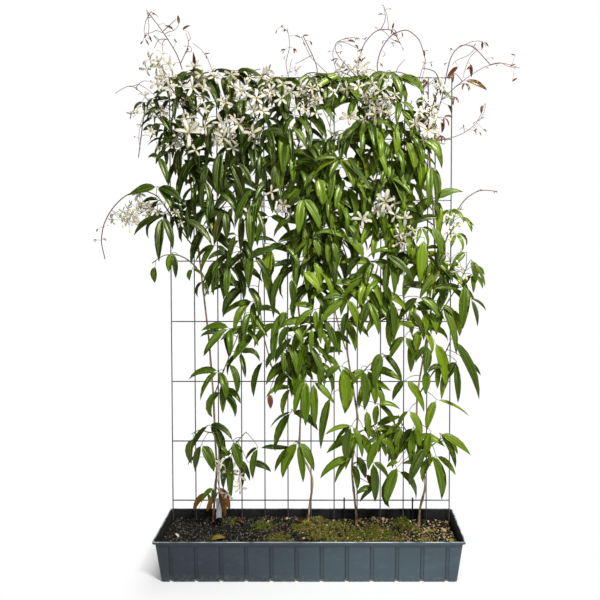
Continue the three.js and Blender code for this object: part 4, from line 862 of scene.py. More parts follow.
def read_shoot(node, carriers):
    """A CAD shoot's stalks, as rounded centre lines, and its leaves: where each is borne, where its leaflets meet,
    the way it faces, and its leaflets' tips. The upper and the lower point where leaflets meet are HEART apart, and
    the points round the upper one go out to each tip and back."""
    points, triangles = merged(node)
    table = linked(len(points), triangles)
    valence = table.sum(1)
    apart = np.linalg.norm(points[:, None] - points[None], axis=2)
    owned = np.zeros(len(points), bool)
    found, ends = [], []
    for a, b in np.argwhere(np.triu(np.abs(apart - HEART) < HEART_MISS, 1)):
        if (table[a] & table[b]).sum() < 5:
            continue
        upper, lower = (a, b) if valence[a] < valence[b] else (b, a)
        heart = (points[a] + points[b]) / 2
        rim = fan(triangles, upper)
        reach = np.linalg.norm(points[rim] - heart, axis=1)
        start = int(np.argmin(reach))
        rim, reach = rim[start:] + rim[:start], np.roll(reach, -start)
        far = reach > 0.006
        runs = np.split(np.arange(len(rim)), np.flatnonzero(np.diff(far.astype(int))) + 1)
        tips = [points[rim[run[np.argmax(reach[run])]]] for run in runs if far[run[0]]]
        own = [lower] + [rim[k] for k in np.flatnonzero(reach < 0.0024)]
        owned[[upper] + [v for v in rim if v not in own]] = True
        found.append((heart, unit(points[upper] - points[lower]), np.array(tips)))
        ends.append(own)
    lines, bearers = stalk_lines(points, table, owned, ends, carriers)
    leaves = []
    for (heart, face, tips), bearer in zip(found, bearers):
        line, k = nearest(lines, heart if bearer is None else bearer)
        leaves.append({"line": line, "share": k / (len(lines[line]) - 1), "foot": lines[line][k], "heart": heart,
                       "face": face, "tips": tips})
    return lines, leaves


def blades(foot, tip, face, up, half, look, stations, tint):
    """Thin blades, one for each row of foot and tip. The middle line is an arc from foot to tip that bends by
    look["bend"] to either side of the straight line, in the plane of up. The half width is
    half s^p (1 - s)^q over its own greatest value, with p, q = look["outline"], after a stalk that takes the first
    look["stalk"] of the length. A cross-section is a shallow trough, look["fold"] high at the edges, over a thin
    underside, and its edge waves by look["wave"]. tint gives tone, age and chance for each blade."""
    n = len(foot)
    chord = tip - foot
    span = np.linalg.norm(chord, axis=1)
    flat = unit(chord - (chord * up).sum(1, keepdims=True) * up)
    pitch = np.arcsin(np.clip((chord * up).sum(1) / span, -1, 1))[:, None]
    bend = np.broadcast_to(look["bend"], (n,))[:, None]
    s = np.array(stations)[None]
    length = span[:, None] * bend / np.sin(bend)
    now = pitch + bend * (1 - 2 * s)
    out = length * (np.sin(pitch + bend) - np.sin(now)) / (2 * bend)
    rise = length * (np.cos(now) - np.cos(pitch + bend)) / (2 * bend)
    flat, up = flat[:, None], up[:, None]
    middle = foot[:, None] + flat * out[..., None] + up * rise[..., None]
    forward = flat * np.cos(now)[..., None] + up * np.sin(now)[..., None]
    across = unit(np.cross(face[:, None], forward))
    normal = np.cross(forward, across)
    twist = (look["twist"][:, None] * (s - 0.3))[..., None]
    across, normal = across * np.cos(twist) + normal * np.sin(twist), normal * np.cos(twist) - across * np.sin(twist)
    p, q = look["outline"]
    t = np.clip((s - look["stalk"]) / (1 - look["stalk"]), 0, 1)
    peak = (p / (p + q)) ** p * (q / (p + q)) ** q
    wide = (half[:, None] * t**p * (1 - t) ** q / peak + look["stalk_radius"])[..., None]
    u = np.array([1, 0.5, 0, -0.5, -1, -0.5, 0, 0.5])
    side = np.array([0, 1, 1, 1, 0, -1, -1, -1])
    edge = np.abs(u) ** 1.5
    wave = look["wave"] * np.sin(9 * s + 40 * tint[:, 2:])[..., None] * np.sign(u) * edge
    lift = wide * (look["fold"][:, None, None] * edge + wave)
    swell = (0.35 + 0.65 * np.sin(np.pi * np.clip(s, 0.1, 0.95)))[..., None]
    thick = look["thick"] * swell * side * (1.15 - np.abs(u))
    rings = middle[:, :, None] + across[:, :, None] * (wide * u)[..., None]
    rings = rings + normal[:, :, None] * (lift + thick)[..., None]
    marks = marked((n, len(stations), 8), tint, along=t[..., None], across=u, under=(1 - side) / 2)
    return skin(rings[:, :-1], foot, tip, marks[:, :-1])


def petioles(foot, heart, radii, sag, tint, stations=6, sides=5):
    """Stalks from foot to heart on a curve of one control point, which stands above the middle by sag times the
    length, tapering between the two radii."""
    t = np.linspace(0, 1, stations)[None, :, None]
    span = np.linalg.norm(heart - foot, axis=1, keepdims=True)
    control = (foot + heart) / 2 + span * sag
    paths = foot[:, None] * (1 - t) ** 2 + 2 * control[:, None] * t * (1 - t) + heart[:, None] * t**2
    first, last = np.split(np.atleast_2d(radii), 2, axis=1)
    return along_path(paths, first + (last - first) * t[0, :, 0], sides,
                      marked((len(foot), stations, sides), tint, along=t))


LEAF_LOOK = {"outline": (0.62, 1.05), "stalk": 0.07, "stalk_radius": 0.0007, "wave": 0.10, "thick": 0.00035}
LEAF_STATIONS = (0, 0.07, 0.17, 0.31, 0.48, 0.66, 0.84, 1.0)


def hanging(leaf, draw):
    """A leaf whose leaflets hang as their weight pulls them: each direction is turned down by a drawn share, more
    where the leaf reaches out of the plant's spread, and each blade's face is turned to its own side. Tips stay
    within the depth of the whole. A leaf whose line is below 0 is one that the CAD lacks."""
    own, heart = leaf["line"] >= 0, leaf["heart"]
    most, size = 0.06 if own else 0.12 if heart[2] < 1.1 else 0.22, 1.0
    if not within(leaf):
        most, size = most + 0.7, 0.65
    away = (leaf["tips"] - heart) * size
    span = np.linalg.norm(away, axis=1, keepdims=True)
    away = unit(unit(away) + draw.uniform(0.0, most, (len(away), 1)) * [0, 0, -1.0])
    longest = np.interp(heart[2], [0.9, 1.3], [0.125, 0.155])
    span = np.minimum(span * draw.uniform(0.92, 1.14, (len(away), 1)), longest)
    if heart[2] > 1.6 and np.ravel(leaf["tint"])[1] < 0.7:  # over the top wire only young leaves stand up
        away = unit(np.minimum(away, [1, 1, -0.45]))
    tips = heart + away * span
    tips[:, 1] = np.clip(tips[:, 1], DEPTH[0] if own else -0.005, DEPTH[1])
    faces = unit(leaf["face"] + away * [0.6, 0.3, 0] + draw.normal(0, 0.22, away.shape))
    return {**leaf, "tips": tips, "faces": faces}


def beside(x, z, lines):
    """The lines' point nearest an upright line through x and z."""
    points = np.concatenate(lines)
    return points[np.hypot(points[:, 0] - x, points[:, 2] - z).argmin()]


def front_leaf(x, z, leaflets, foot, draw):
    """A leaf of FRONT, borne at a foot: its leaflets hang a little forward, and face the front and upwards. Its tone
    follows how light each leaflet is, partly painted light and shade, and it is painted lighter lower down and darker
    at the top left, as the light falls."""
    a, b, half, light = np.array(leaflets, float).T
    heart = np.array([x, draw.uniform(-30, 5), z]) / 1000
    tips = np.stack([a / 1000, np.full(len(a), heart[1]), b / 1000], 1)
    span = np.linalg.norm(tips - heart, axis=1)
    tips[:, 1] -= span * draw.uniform(0.02, 0.30, len(a))
    away = unit(tips - heart)
    upward = np.array([0, 0, 0.6]) * np.abs(away[:, 2:])
    faces = unit(away * [0.7, 0, 0.2] + [0, -0.8, 0] + upward + draw.normal(0, 0.2, away.shape))
    old = light == 9
    # painted light and shade: darker at the top left, lighter below 1 m
    base = 0.09 - 0.10 * np.clip(-x / 200, 0, 1) * np.clip((z - 1100) / 100, 0, 1) + 0.06 * (z < 1000)
    tone = np.where(old, 0.45, base + 0.15 * light + draw.normal(0, 0.09, len(a)))
    tint = np.clip(np.stack([tone, old * 0.84, draw.random(len(a))], 1), 0, 1)
    return {"line": 0, "foot": foot, "heart": heart, "tips": tips, "faces": faces, "tint": tint, "half": half / 1000}


def within(leaf):
    """Whether a leaf's tips stay within the plant's spread at their height."""
    left, right = (np.interp(leaf["tips"][:, 2], SPREAD[:, 2], SPREAD[:, k]) for k in (0, 1))
    return ((leaf["tips"][:, 0] > left) & (leaf["tips"][:, 0] < right)).all()


def middles(leaf):
    """The middle of each of a leaf's leaflets, seen from the front: x and z."""
    return ((leaf["tips"] + leaf["heart"]) / 2)[:, [0, 2]]


def inside(areas, x, z):
    """Whether a point lies in one of the ellipses, given as rows of x, z, half width and half height."""
    middle_x, middle_z, wide, high = np.array(areas).T / 1000
    return np.hypot((x - middle_x) / wide, (z - middle_z) / high).min() < 1


def grow(leaf, borne, taken, top):
    """Add a drawn leaf to those borne, if it stays within the spread and out of the gaps, and if none of its leaflets
    would crowd more others than its height allows. top is how many that is at the top."""
    spots, (x, _, z) = middles(leaf), leaf["heart"]
    if not within(leaf) or inside(OPEN, spots[:, :1], spots[:, 1:]):
        return
    most = np.interp(z, [0.9, 1.05, 1.45, 1.55], [0.5, 3.4, 3.6, top]) + 1.5 * inside(CLUMPS, x, z)
    if x < -0.08 and 0.95 < z < 1.33:  # the left half is thin there
        most *= 0.5
    apart = np.linalg.norm(spots[:, None] - np.array(taken)[None], axis=2)
    if (apart < BESIDE).sum(1).max() <= most:
        borne.append(leaf)
        taken += list(spots)


def drawn_leaf(foot, draw, back):
    """A further leaf at a foot: a petiole out to one side and to the front or the back, and one to three leaflets
    that hang from its end, the outer two spread to either side."""
    way = draw.choice([-1, 1])
    front = 1.0 if back else -1.0
    rise = draw.uniform(-0.2, 0.7) if foot[2] < 1.58 else draw.uniform(-0.9, 0.0)
    out = unit([way * draw.uniform(0.25, 1), front * draw.uniform(0.2, 0.8), rise])
    heart = foot + out * draw.uniform(0.022, 0.050)
    heart[1] = np.clip(heart[1], 0.012, DEPTH[1])
    middle = abs(foot[0] - 0.06) <= 0.16 and foot[2] >= 1.1
    size = LEAFLETS[int(middle)] * draw.uniform(0.75, 1.25)
    lean = out[0] * draw.uniform(0, 1.2)
    turns = np.array([0, -1, 1]) * draw.uniform(0.55, 1.25)
    turns = turns[: draw.choice([1, 2, 3], p=[0.08, 0.22, 0.7])]
    forward = front * draw.uniform(0.05, 0.5, len(turns))
    away = np.stack([np.sin(turns + lean), forward, -np.cos(turns + lean) * 0.8 - 0.05], 1)
    tips = heart + unit(away) * size * np.where(turns == 0, 1, 0.88)[:, None]
    face = unit([draw.uniform(-0.35, 0.35), front, draw.uniform(0.25, 0.7)])
    return {"line": -2, "foot": foot, "heart": heart, "face": face, "tips": tips}


def unripe_leaf(foot, heart, tips, draw, youngest, **more):
    """A small brown leaf of a young end. youngest is the least age mark it may be drawn with."""
    tint = (0.2, float(draw.uniform(youngest, 1)), 0.5)
    return {"line": -1, "foot": foot, "heart": heart, "tips": tips, "tint": tint, "scale": 0.45, **more}


def foliage(lines, leaves, draw):
    """The skins of one stem's vines, leaf stalks and leaflets, each with its finish, from what was read of its
    shoots. A leaf with "half" is one of FRONT, and is flatter and less twisted."""
    vines = []
    for line, radii, bare, nodes in lines:
        reach = np.linspace(0, 1, len(line))
        radius = radii[0] + (radii[1] - radii[0]) * reach
        length = length_of(line)[-1]
        for at in nodes:  # the vine is swollen by half where leaves spring
            radius = radius * (1 + 0.5 * np.exp(-(((reach - at) * length) / 0.006) ** 2))
        ripe = np.clip((reach - bare) / max(1 - bare, 0.08), 0, 1) if bare < 1 else 0
        ripe = np.maximum(ripe, np.clip((line[:, 2] - 1.50) / 0.20, 0, 0.8))
        marks = marked((1, len(line), 6), along=reach[:, None], tone=draw.random(), age=ripe[:, None],
                       chance=draw.random())
        vines.append(along_path(line[None], radius, 6, marks))
    each = lambda key: np.array([leaf[key] for leaf in leaves])
    stalk_tint = np.array([np.atleast_2d(leaf["tint"])[0] for leaf in leaves])
    stalk_tint[:, 1] = np.maximum(stalk_tint[:, 1], 0.25)
    radii = np.array([leaf.get("scale", 1.0) for leaf in leaves])[:, None] * STALK_RADII
    stalks = petioles(each("foot"), each("heart"), radii, np.array([0, -0.1, 0.16]), stalk_tint)
    counts = [len(leaf["tips"]) for leaf in leaves]
    hearts = np.repeat(each("heart"), counts, axis=0)
    tips, faces = (np.concatenate([leaf[key] for leaf in leaves]) for key in ("tips", "faces"))
    tints = np.concatenate([np.broadcast_to(leaf["tint"], (k, 3)) for leaf, k in zip(leaves, counts)])
    n = len(tips)
    tints[:, 2] = draw.random(n)
    span = np.linalg.norm(tips - hearts, axis=1)
    look = {**LEAF_LOOK, "twist": draw.normal(0, 0.55, n), "fold": draw.uniform(0.30, 0.85, n)}
    bend = np.clip(draw.normal(0.55, 0.22, n), 0.12, 1.1)
    for axis, over in ((1, [0.09, 0.16]), (2, [1.58, 1.68])):  # flatter far behind and at the very top
        bend = np.minimum(bend, np.interp(hearts[:, axis], over, [1.1, 0.3]))
    given = np.concatenate([leaf.get("half", np.zeros(k)) for leaf, k in zip(leaves, counts)])
    half = np.where(given > 0, given * 0.88, span * draw.uniform(0.092, 0.132, n))
    look["twist"] *= np.where(given > 0, 0.5, 1)
    steep = np.abs(tips - hearts)[:, 2] / span
    flat = np.interp(steep, [0.3, 0.7], [0.6, 0.18 + 0.25 * tints[:, 2].mean()])
    look["bend"] = np.where(given > 0, np.minimum(bend, flat), bend)
    up = np.tile([[0.0, 0.0, 1.0]], (n, 1))
    leaflets = blades(hearts, tips, faces, up, half, look, LEAF_STATIONS, tints)
    return [(s, stalk_finish) for s in vines + [stalks]] + [(leaflets, leaf_finish)]


def leaf_tone_and_painted_light(place, draw):
    """How light a leaf is, 0 to 1: painted light makes it lighter to the right and lower down, where the key light
    falls, and painted shadow darker at the left, with a draw.
    """
    side = np.clip(0.5 + place[0] * 0.8, 0, 1)
    low = np.clip(1.25 - place[2] * 0.65, 0.0, 0.9)
    shadow = 0.17 if place[0] < -0.1 and not 0.6 < place[2] < 1.1 else 0.06
    return float(np.clip(0.58 * side + 0.34 * low + draw.normal(0, 0.09 + 0.06 * side) - shadow, 0, 1))


def waxy_leaf(shade):
    along, across, under = shade.mark("place")
    tone, age, chance = shade.mark("tint")
    body = tone.ramp((0.0, "040d02"), (0.25, "142b03"), (0.5, "496301"), (0.75, "688203"), (1.0, "8d9b15"))
    body = (shade.grain(0.014, 3) * 0.35).blend(body, "263f04")
    off = abs(across)
    veins_and_sheen = abs(off - 0.46 - 0.05 * along).step(0.05, 0.01) * 0.5
    veins_and_sheen = (off.step(0.10, 0.02) + veins_and_sheen).least(1.0) * along.step(1.0, 0.75)
    # pale veins, painted paler and broader on some leaves as a painted sheen along them
    body = (veins_and_sheen * (0.06 + 0.36 * chance)).blend(body, "aebb4e")
    body = (under * 0.6).blend(body, "7c902c")
    scorch = along.step(0.86, 0.99) * chance.step(0.72, 0.8) + (off.step(0.8, 1.0) * chance.step(0.9, 0.95) * 0.7)
    body = scorch.least(1.0).blend(body, "9a5822")
    withered = age.step(0.76, 0.86)
    young = withered.blend("8f5323", (0.35 + 0.65 * shade.grain(0.01, 2)).blend("3f2416", "5f2a1c"))
    body = (age * (0.4 + 0.6 * along) + withered * 0.6).least(1.0).blend(body, young)
    nets = shade.grain(0.003, 2)
    return {"Base Color": body, "Roughness": 0.29 + 0.08 * nets + 0.3 * under, "Specular IOR Level": 0.56,
            "Specular Tint": (0.9, 1.0, 0.5, 1.0), "Normal": shade.bump(veins_and_sheen * -0.8 + 0.12 * nets, 0.0008)}


def green_stalk(shade):
    tone, age, chance = shade.mark("tint")
    fleck = shade.grain(0.004, 3)
    body = tone.blend("4f6a2a", "86983f")
    body = (chance.step(0.4, 1.0) * 0.55).blend(body, "7d5a33")
    body = age.step(0.0, 0.55).blend(body, "5a3126")
    body = (fleck.step(0.5, 0.75) * 0.4).blend(body, "9c7a52")
    return {"Base Color": body, "Roughness": 0.5, "Specular IOR Level": 0.4, "Normal": shade.bump(fleck, 0.0002)}


RUNNERS = {  # further vines, x, y, z: each leaves the stem where it is nearest, and most run on along the top wire
    "stem_1": [
        [(-345, 50, 430), (-380, 48, 450), (-410, 50, 430)],
        [(-440, 60, 1600), (-400, 58, 1655), (-320, 58, 1672), (-240, 60, 1664), (-170, 60, 1678)],
        [(-455, 56, 1590), (-490, 52, 1640), (-500, 50, 1690)]],
    "stem_2": [
        [(-130, 62, 640), (-165, 58, 780), (-180, 56, 930), (-160, 56, 1060), (-175, 58, 1180)],
        [(-60, 60, 1620), (-10, 58, 1668), (60, 58, 1660), (110, 60, 1672)],
        [(-105, 60, 1620), (-150, 58, 1665), (-190, 58, 1650)]],
    "stem_3": [
        [(190, 60, 1610), (230, 58, 1662), (300, 58, 1670), (350, 60, 1650)],
        [(170, 60, 1610), (140, 58, 1655), (100, 58, 1670)]],
    "stem_4": [
        [(400, 60, 1040), (350, 58, 1090), (290, 56, 1110), (220, 56, 1150), (160, 58, 1140)],
        [(420, 60, 1570), (440, 58, 1630), (425, 56, 1672), (380, 56, 1680)]],
}

leaf_finish = finish("waxy_leaf", waxy_leaf)
stalk_finish = finish("green_stalk", green_stalk)
all_stems = np.concatenate(list(stem_lines.values()))
shoots = {}
for stem, routes in RUNNERS.items():
    names = sorted(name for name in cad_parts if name.startswith("shoot_" + stem[-1]))
    shoots[stem] = [(name, *read_shoot(name, all_stems)) for name in names]
    for route in routes:
        route = np.array(route) / 1000
        start = nearest([stem_lines[stem]], route[0])[1]
        shoots[stem].append(("runner", [rounded(np.array([stem_lines[stem][start], *route]), VINE_STEP)], []))
draw = np.random.default_rng(7)
front = {stem: [] for stem in STEM_NAMES}
for x, z, *leaflets in FRONT:
    at = (x / 1000, z / 1000)
    feet = {stem: beside(*at, [line for _, found, _ in shoots[stem] for line in found] + [stem_lines[stem]])
            for stem in STEM_NAMES}
    stem = min(feet, key=lambda name: np.hypot(feet[name][0] - at[0], feet[name][2] - at[1]))
    front[stem].append(front_leaf(x, z, leaflets, feet[stem], draw))
taken = [middle for leaves in front.values() for leaf in leaves for middle in middles(leaf)]
covered = np.array(taken)
for leaf in [leaf for found in shoots.values() for _, _, borne in found for leaf in borne]:
    gap = np.linalg.norm(middles(leaf)[:, None] - covered[None], axis=2).min(1)
    leaf["tips"] = leaf["tips"][gap > np.interp(leaf["heart"][2], [0.9, 1.2], [0.032, 0.018])]
    taken += list(middles(leaf))
shoot_lines = []
for stem in STEM_NAMES:
    nodes = [name for name, _, _ in shoots[stem] if name != "runner"]
    draw = np.random.default_rng(100 + int(stem[-1]))
    lines, leaves = [], []
    for node, found, borne in shoots[stem]:
        withered = node == "shoot_1w"
        shoot_lines += found
        for k, line in enumerate(found):
            shares = [leaf["share"] for leaf in borne if leaf["line"] == k]
            length = length_of(line)[-1]
            last = max(shares, default=0.95 if node == "runner" else 0.0)
            bare = last if (1 - last) * length > BARE_END else 1.0
            lines.append((line, SIDE_RADII if k else VINE_RADII, bare, sorted(set(np.round(shares, 2)))))
            count = int((1 - bare) * length / PAIR_STEP)
            for at in bare + (1 - bare) * (np.arange(count) + 0.7) / max(count, 1):
                here = line[int(at * (len(line) - 1))]
                for way in (-1, 1):
                    if draw.random() < 0.5:
                        continue
                    off = np.array([way * draw.uniform(0.3, 1), draw.uniform(-0.8, 0.4), draw.uniform(-0.5, 0.7)])
                    heart = here + unit(off) * draw.uniform(0.008, 0.022)
                    size = draw.uniform(0.012, 0.026) * (1.25 - 0.5 * at)
                    tips = [heart + unit(off + [0, 0, -0.5] + draw.normal(0, 0.7, 3)) * size
                            for _ in range(draw.integers(1, 4))]
                    borne.append(unripe_leaf(here, heart, np.array(tips), draw, 0.8, face=unit([0, -0.6, 1.0])))
            for at in np.arange(0.03, last * length, LEAF_STEP) / length:
                here = line[int(at * (len(line) - 1))]
                grow(drawn_leaf(here, draw, here[1] > 0.085), borne, taken, 1.6)
        for leaf in borne:
            if "tint" not in leaf:
                tone = leaf_tone_and_painted_light(leaf["heart"], draw)
                leaf["tint"] = (tone, draw.uniform(0.45, 0.75) if withered else 0.0, float(draw.random()))
        for leaf in [one for one in borne if one["line"] >= 0 and not withered and len(one["tips"])]:
            if draw.random() < 0.12:  # most leaves have a partner on the vine's other side
                continue
            angle, size = draw.normal(0, 0.35), draw.uniform(0.72, 1.0)
            cos, sin = np.cos(angle), np.sin(angle)
            turn = np.array([[-cos, -sin, 0], [-sin, cos, 0], [0, 0, 1]]).T
            turned = {key: leaf["foot"] + (leaf[key] - leaf["foot"]) @ turn * size for key in ("heart", "tips")}
            other = {"line": -2, "foot": leaf["foot"], "face": leaf["face"] @ turn, **turned,
                     "tint": (leaf_tone_and_painted_light(leaf["heart"], draw), 0.0, float(draw.random()))}
            grow(other, borne, taken, 2.2)
        for leaf in borne:
            x, _, z = leaf["heart"]
            # the ends at the top right are young, and the leaves at the top left are small
            if x > np.interp(z, [1.42, 1.6], [0.40, 0.33]) and z > 1.42 and leaf["tint"][1] < 0.5:
                leaf["tips"] = leaf["heart"] + (leaf["tips"] - leaf["heart"]) * 0.45
                leaf["tint"] = (0.3, float(draw.uniform(0.88, 1.0)), 0.5)
            if x < -0.45 and z > 1.33:
                leaf["tips"] = leaf["heart"] + (leaf["tips"] - leaf["heart"]) * 0.6
        leaves += [hanging(leaf, draw) for leaf in borne if len(leaf["tips"])]
    made(stem.replace("stem", "foliage"), foliage(lines, leaves + front[stem], draw), nodes)

TWIGS = [  # thin side shoots, most above the top wire, each a path of x, z
    [(-605, 1608), (-575, 1625), (-538, 1598), (-495, 1561), (-471, 1551)],
    [(-471, 1551), (-521, 1547), (-548, 1524), (-558, 1487), (-562, 1436), (-552, 1396)],
    [(-575, 1625), (-552, 1635), (-538, 1628)], [(-544, 1837), (-542, 1867), (-534, 1872), (-517, 1856)],
    [(-544, 1854), (-536, 1806), (-538, 1785), (-528, 1762)], [(-549, 1839), (-557, 1806), (-555, 1781)],
    [(-494, 1793), (-521, 1808), (-536, 1800), (-563, 1802)], [(-484, 1776), (-494, 1755), (-488, 1726)],
    [(-528, 1789), (-505, 1758), (-492, 1755)], [(-339, 1690), (-353, 1722), (-379, 1755), (-408, 1776)],
    [(-397, 1772), (-412, 1800)], [(-397, 1726), (-404, 1755), (-433, 1760)],
    [(-484, 1795), (-450, 1802), (-442, 1816)], [(-68, 1797), (-76, 1795), (-93, 1808)],
    [(-68, 1659), (-68, 1688), (-61, 1709)], [(61, 1660), (-1, 1716), (-20, 1761), (-29, 1778)],
    [(100, 1643), (81, 1694), (74, 1739), (89, 1767), (117, 1779), (142, 1777)],
    [(263, 1806), (257, 1853), (246, 1879)], [(379, 1719), (385, 1694), (377, 1655), (361, 1604)],
    [(517, 1755), (548, 1767), (576, 1772), (596, 1755)], [(565, 1739), (537, 1716), (520, 1671), (515, 1643)],
    [(599, 1685), (638, 1694), (660, 1677), (688, 1674)], [(565, 1492), (582, 1526), (585, 1554)],
    [(167, 1660), (195, 1674), (223, 1666), (246, 1643), (291, 1587), (324, 1548)],
    [(291, 1677), (302, 1688), (316, 1701)], [(229, 1809), (251, 1792), (268, 1767), (291, 1753)],
    [(-1, 1716), (-29, 1702), (-51, 1697)], [(89, 1767), (128, 1758), (156, 1744)],
    [(531, 1716), (498, 1708), (481, 1694)]]
UNRIPE = [  # their brown leaves: foot x, z, tip x, z
    (-458, 1802, -488, 1816), (-439, 1819, -445, 1854), (-429, 1804, -405, 1823), (-544, 1762, -536, 1745),
    (-559, 1764, -567, 1752), (-532, 1776, -525, 1756), (-540, 1781, -545, 1764), (-529, 1854, -514, 1851),
    (-396, 1671, -397, 1735), (-362, 1730, -343, 1734), (-355, 1726, -353, 1714), (-51, 1781, -32, 1773),
    (-97, 1810, -86, 1808), (-111, 1797, -114, 1785), (-34, 1772, -50, 1779), (-23, 1779, -5, 1782),
    (-23, 1760, -17, 1749), (128, 1779, 153, 1773), (152, 1754, 161, 1736), (246, 1879, 238, 1882),
    (263, 1870, 271, 1866), (243, 1852, 227, 1850), (277, 1760, 298, 1751), (306, 1741, 311, 1730),
    (377, 1732, 382, 1712), (581, 1769, 582, 1744), (589, 1767, 602, 1750), (501, 1685, 465, 1652),
    (537, 1691, 546, 1650), (517, 1632, 592, 1599), (666, 1677, 686, 1684), (683, 1713, 668, 1717),
    (674, 1627, 690, 1638), (559, 1470, 548, 1462), (566, 1460, 572, 1447), (579, 1469, 590, 1460),
    (576, 1548, 570, 1518), (414, 1596, 422, 1555), (460, 1553, 474, 1524), (439, 1506, 441, 1458),
    (425, 1445, 419, 1417), (268, 1652, 232, 1661), (279, 1643, 292, 1602), (419, 1643, 429, 1619),
    (526, 1671, 545, 1684), (179, 1736, 157, 1728)]


draw = np.random.default_rng(55)
twigs = []
for path in TWIGS:
    path = np.array(path) / 1000
    start = beside(*path[0], shoot_lines)
    y = start[1] + np.linspace(0, draw.normal(0, 0.02), len(path))
    route = np.insert(path, 1, y, axis=1)
    if np.linalg.norm(start - route[0]) > 0.004:
        route = np.concatenate([start[None], route])
    twigs.append(rounded(route, 0.006))
leaves = []
for x, z, tip_x, tip_z in np.array(UNRIPE) / 1000:
    start = beside(x, z, shoot_lines + twigs)
    heart = np.array([x, start[1] - 0.003, z])
    tip = np.array([[tip_x, heart[1] + draw.normal(0, 0.25) * abs(tip_z - z), tip_z]])
    face = unit([[draw.normal(0, 0.3), -1.0, 0.3]])
    leaves.append(unripe_leaf(start, heart, tip, draw, 0.85, faces=face))
made("young_ends", foliage([(line, TWIG_RADII, 0.0, []) for line in twigs], leaves, draw))

# ---------------------------------------------------------------- blossom
# Loose sprays of starry flowers spring from the upper stems and vines. Each flower has four to six narrow
# white petals round a tuft of cream stamens, on a thin green stalk, among plump cream buds still closed. The
# tables are in millimetres.

PETAL_LOOK = {"outline": (0.75, 0.42), "stalk": 0.0, "stalk_radius": 0.0006, "wave": 0.08, "thick": 0.0003}
PETAL_STATIONS = (0, 0.12, 0.35, 0.62, 0.86, 1.0)
PETAL_BREADTHS = (0.012, 0.026)  # what broadens a petal, as a share of its length, and one of a large open flower
SPRAY_RADII = (0.0017, 0.0010)
FORK_RADII = (0.0010, 0.0008)
PEDICEL_RADII = (0.0008, 0.0006)
TIP_REACH = 0.0165  # from a CAD flower's pole a tip lies farther than this, and a notch nearer
POLE_RISE = 0.0018  # of a CAD flower's pole over the middle of the flower
STAMENS = 11
FORK_STEP = 0.040  # along a vine, from one place where a drawn cluster may stand to the next
BUD = 0.014  # its length
OPEN_FLOWERS = [  # the large open flowers at the front: x, z, reach, turn in degrees, petals
    (-383, 1444, 48, 45, 5), (-180, 1441, 35, 90, 5), (-222, 1470, 39, 40, 4), (-373, 1589, 35, 30, 5),
    (-216, 1579, 35, 60, 6), (-334, 1589, 26, 80, 4), (-167, 1553, 35, 95, 5), (-177, 1515, 32, 20, 5),
    (211, 1502, 39, 5, 4), (128, 1492, 35, -90, 5), (244, 1223, 42, 20, 6), (170, 1168, 35, -90, 5),
    (378, 1451, 39, -70, 5), (305, 1171, 29, -90, 4), (-119, 1255, 29, 100, 4), (-84, 1213, 26, 60, 5),
    (-280, 1476, 35, 20, 4), (-273, 1428, 35, -20, 4), (-331, 1463, 29, 10, 4), (-13, 1515, 22, -60, 4),
    (157, 1589, 29, -60, 5), (202, 1601, 26, 30, 5), (122, 1582, 29, -80, 4), (353, 1512, 29, 10, 5),
    (340, 1473, 29, 80, 5), (-267, 1540, 29, -20, 4), (-81, 1598, 29, 0, 5), (-87, 1553, 29, 50, 5),
    (-123, 1579, 29, 120, 5), (-363, 1389, 26, -60, 4), (-151, 1512, 29, -30, 5), (-248, 1630, 26, 20, 5),
    (-299, 1621, 29, 70, 5), (-344, 1627, 26, 0, 5), (-463, 1621, 29, 30, 5), (-485, 1598, 26, 75, 5),
    (-444, 1589, 29, 10, 4), (77, 1573, 26, 40, 4), (-58, 1573, 29, -10, 5), (276, 1181, 29, 150, 4)]
CLUSTERS = [  # small loose clusters: x, z, flowers, buds, spread
    (240, 1210, 3, 2, 40), (320, 1120, 4, 3, 50), (460, 1040, 1, 5, 50), (-110, 1190, 3, 1, 50), (460, 1140, 0, 4, 40),
    (500, 1000, 1, 3, 40), (300, 1070, 1, 4, 40), (-420, 1600, 2, 1, 40), (-360, 1550, 1, 1, 30),
    (-400, 1480, 1, 0, 30), (-330, 1500, 1, 1, 30), (-280, 1440, 2, 1, 40), (-220, 1490, 1, 1, 40),
    (-260, 1580, 2, 0, 40), (-170, 1550, 1, 1, 30), (-200, 1440, 1, 0, 30), (-130, 1580, 2, 1, 40),
    (-530, 1520, 2, 1, 40), (-520, 1440, 1, 2, 30), (-460, 1420, 2, 1, 40), (-300, 380, 1, 1, 30),
    (-260, 340, 1, 1, 30), (360, 1500, 2, 1, 40), (400, 1440, 1, 1, 30), (20, 1600, 2, 1, 50), (190, 1480, 1, 1, 30),
    (240, 1560, 2, 1, 40), (-550, 1190, 6, 3, 60), (-600, 1160, 5, 3, 50), (-500, 1220, 4, 2, 50),
    (-460, 1170, 3, 1, 40)]


def read_spray(node, carriers):
    """A CAD spray's stalks, and its flowers: where each is borne, its middle, the way it faces, its petals' tips. The
    eight points round a flower's pole are its tips and the notches between them by turns."""
    points, triangles = merged(node)
    table = linked(len(points), triangles)
    owned = np.zeros(len(points), bool)
    found, ends = [], []
    for pole in np.flatnonzero(table.sum(1) == 8):
        rim = fan(triangles, pole)
        far = np.linalg.norm(points[rim] - points[pole], axis=1) > TIP_REACH
        if len(rim) != 8 or (far == np.roll(far, 1)).any():
            continue
        middle = points[rim].mean(0)
        arms = points[rim] - middle
        face = unit(np.cross(arms, np.roll(arms, -1, axis=0)).sum(0))
        face = face * np.sign(((points[pole] - middle) * face).sum())
        owned[[pole] + rim] = True
        found.append((points[pole] - face * POLE_RISE, face, points[np.array(rim)[far]]))
        ends.append([v for v in np.flatnonzero(table[rim].any(0)) if v != pole and v not in rim])
    lines, bearers = stalk_lines(points, table, owned, ends, carriers)
    flowers = []
    for (middle, face, tips), bearer in zip(found, bearers):
        line, k = nearest(lines, middle if bearer is None else bearer)
        flowers.append({"foot": lines[line][k], "middle": middle, "face": face, "tips": tips})
    return lines, flowers


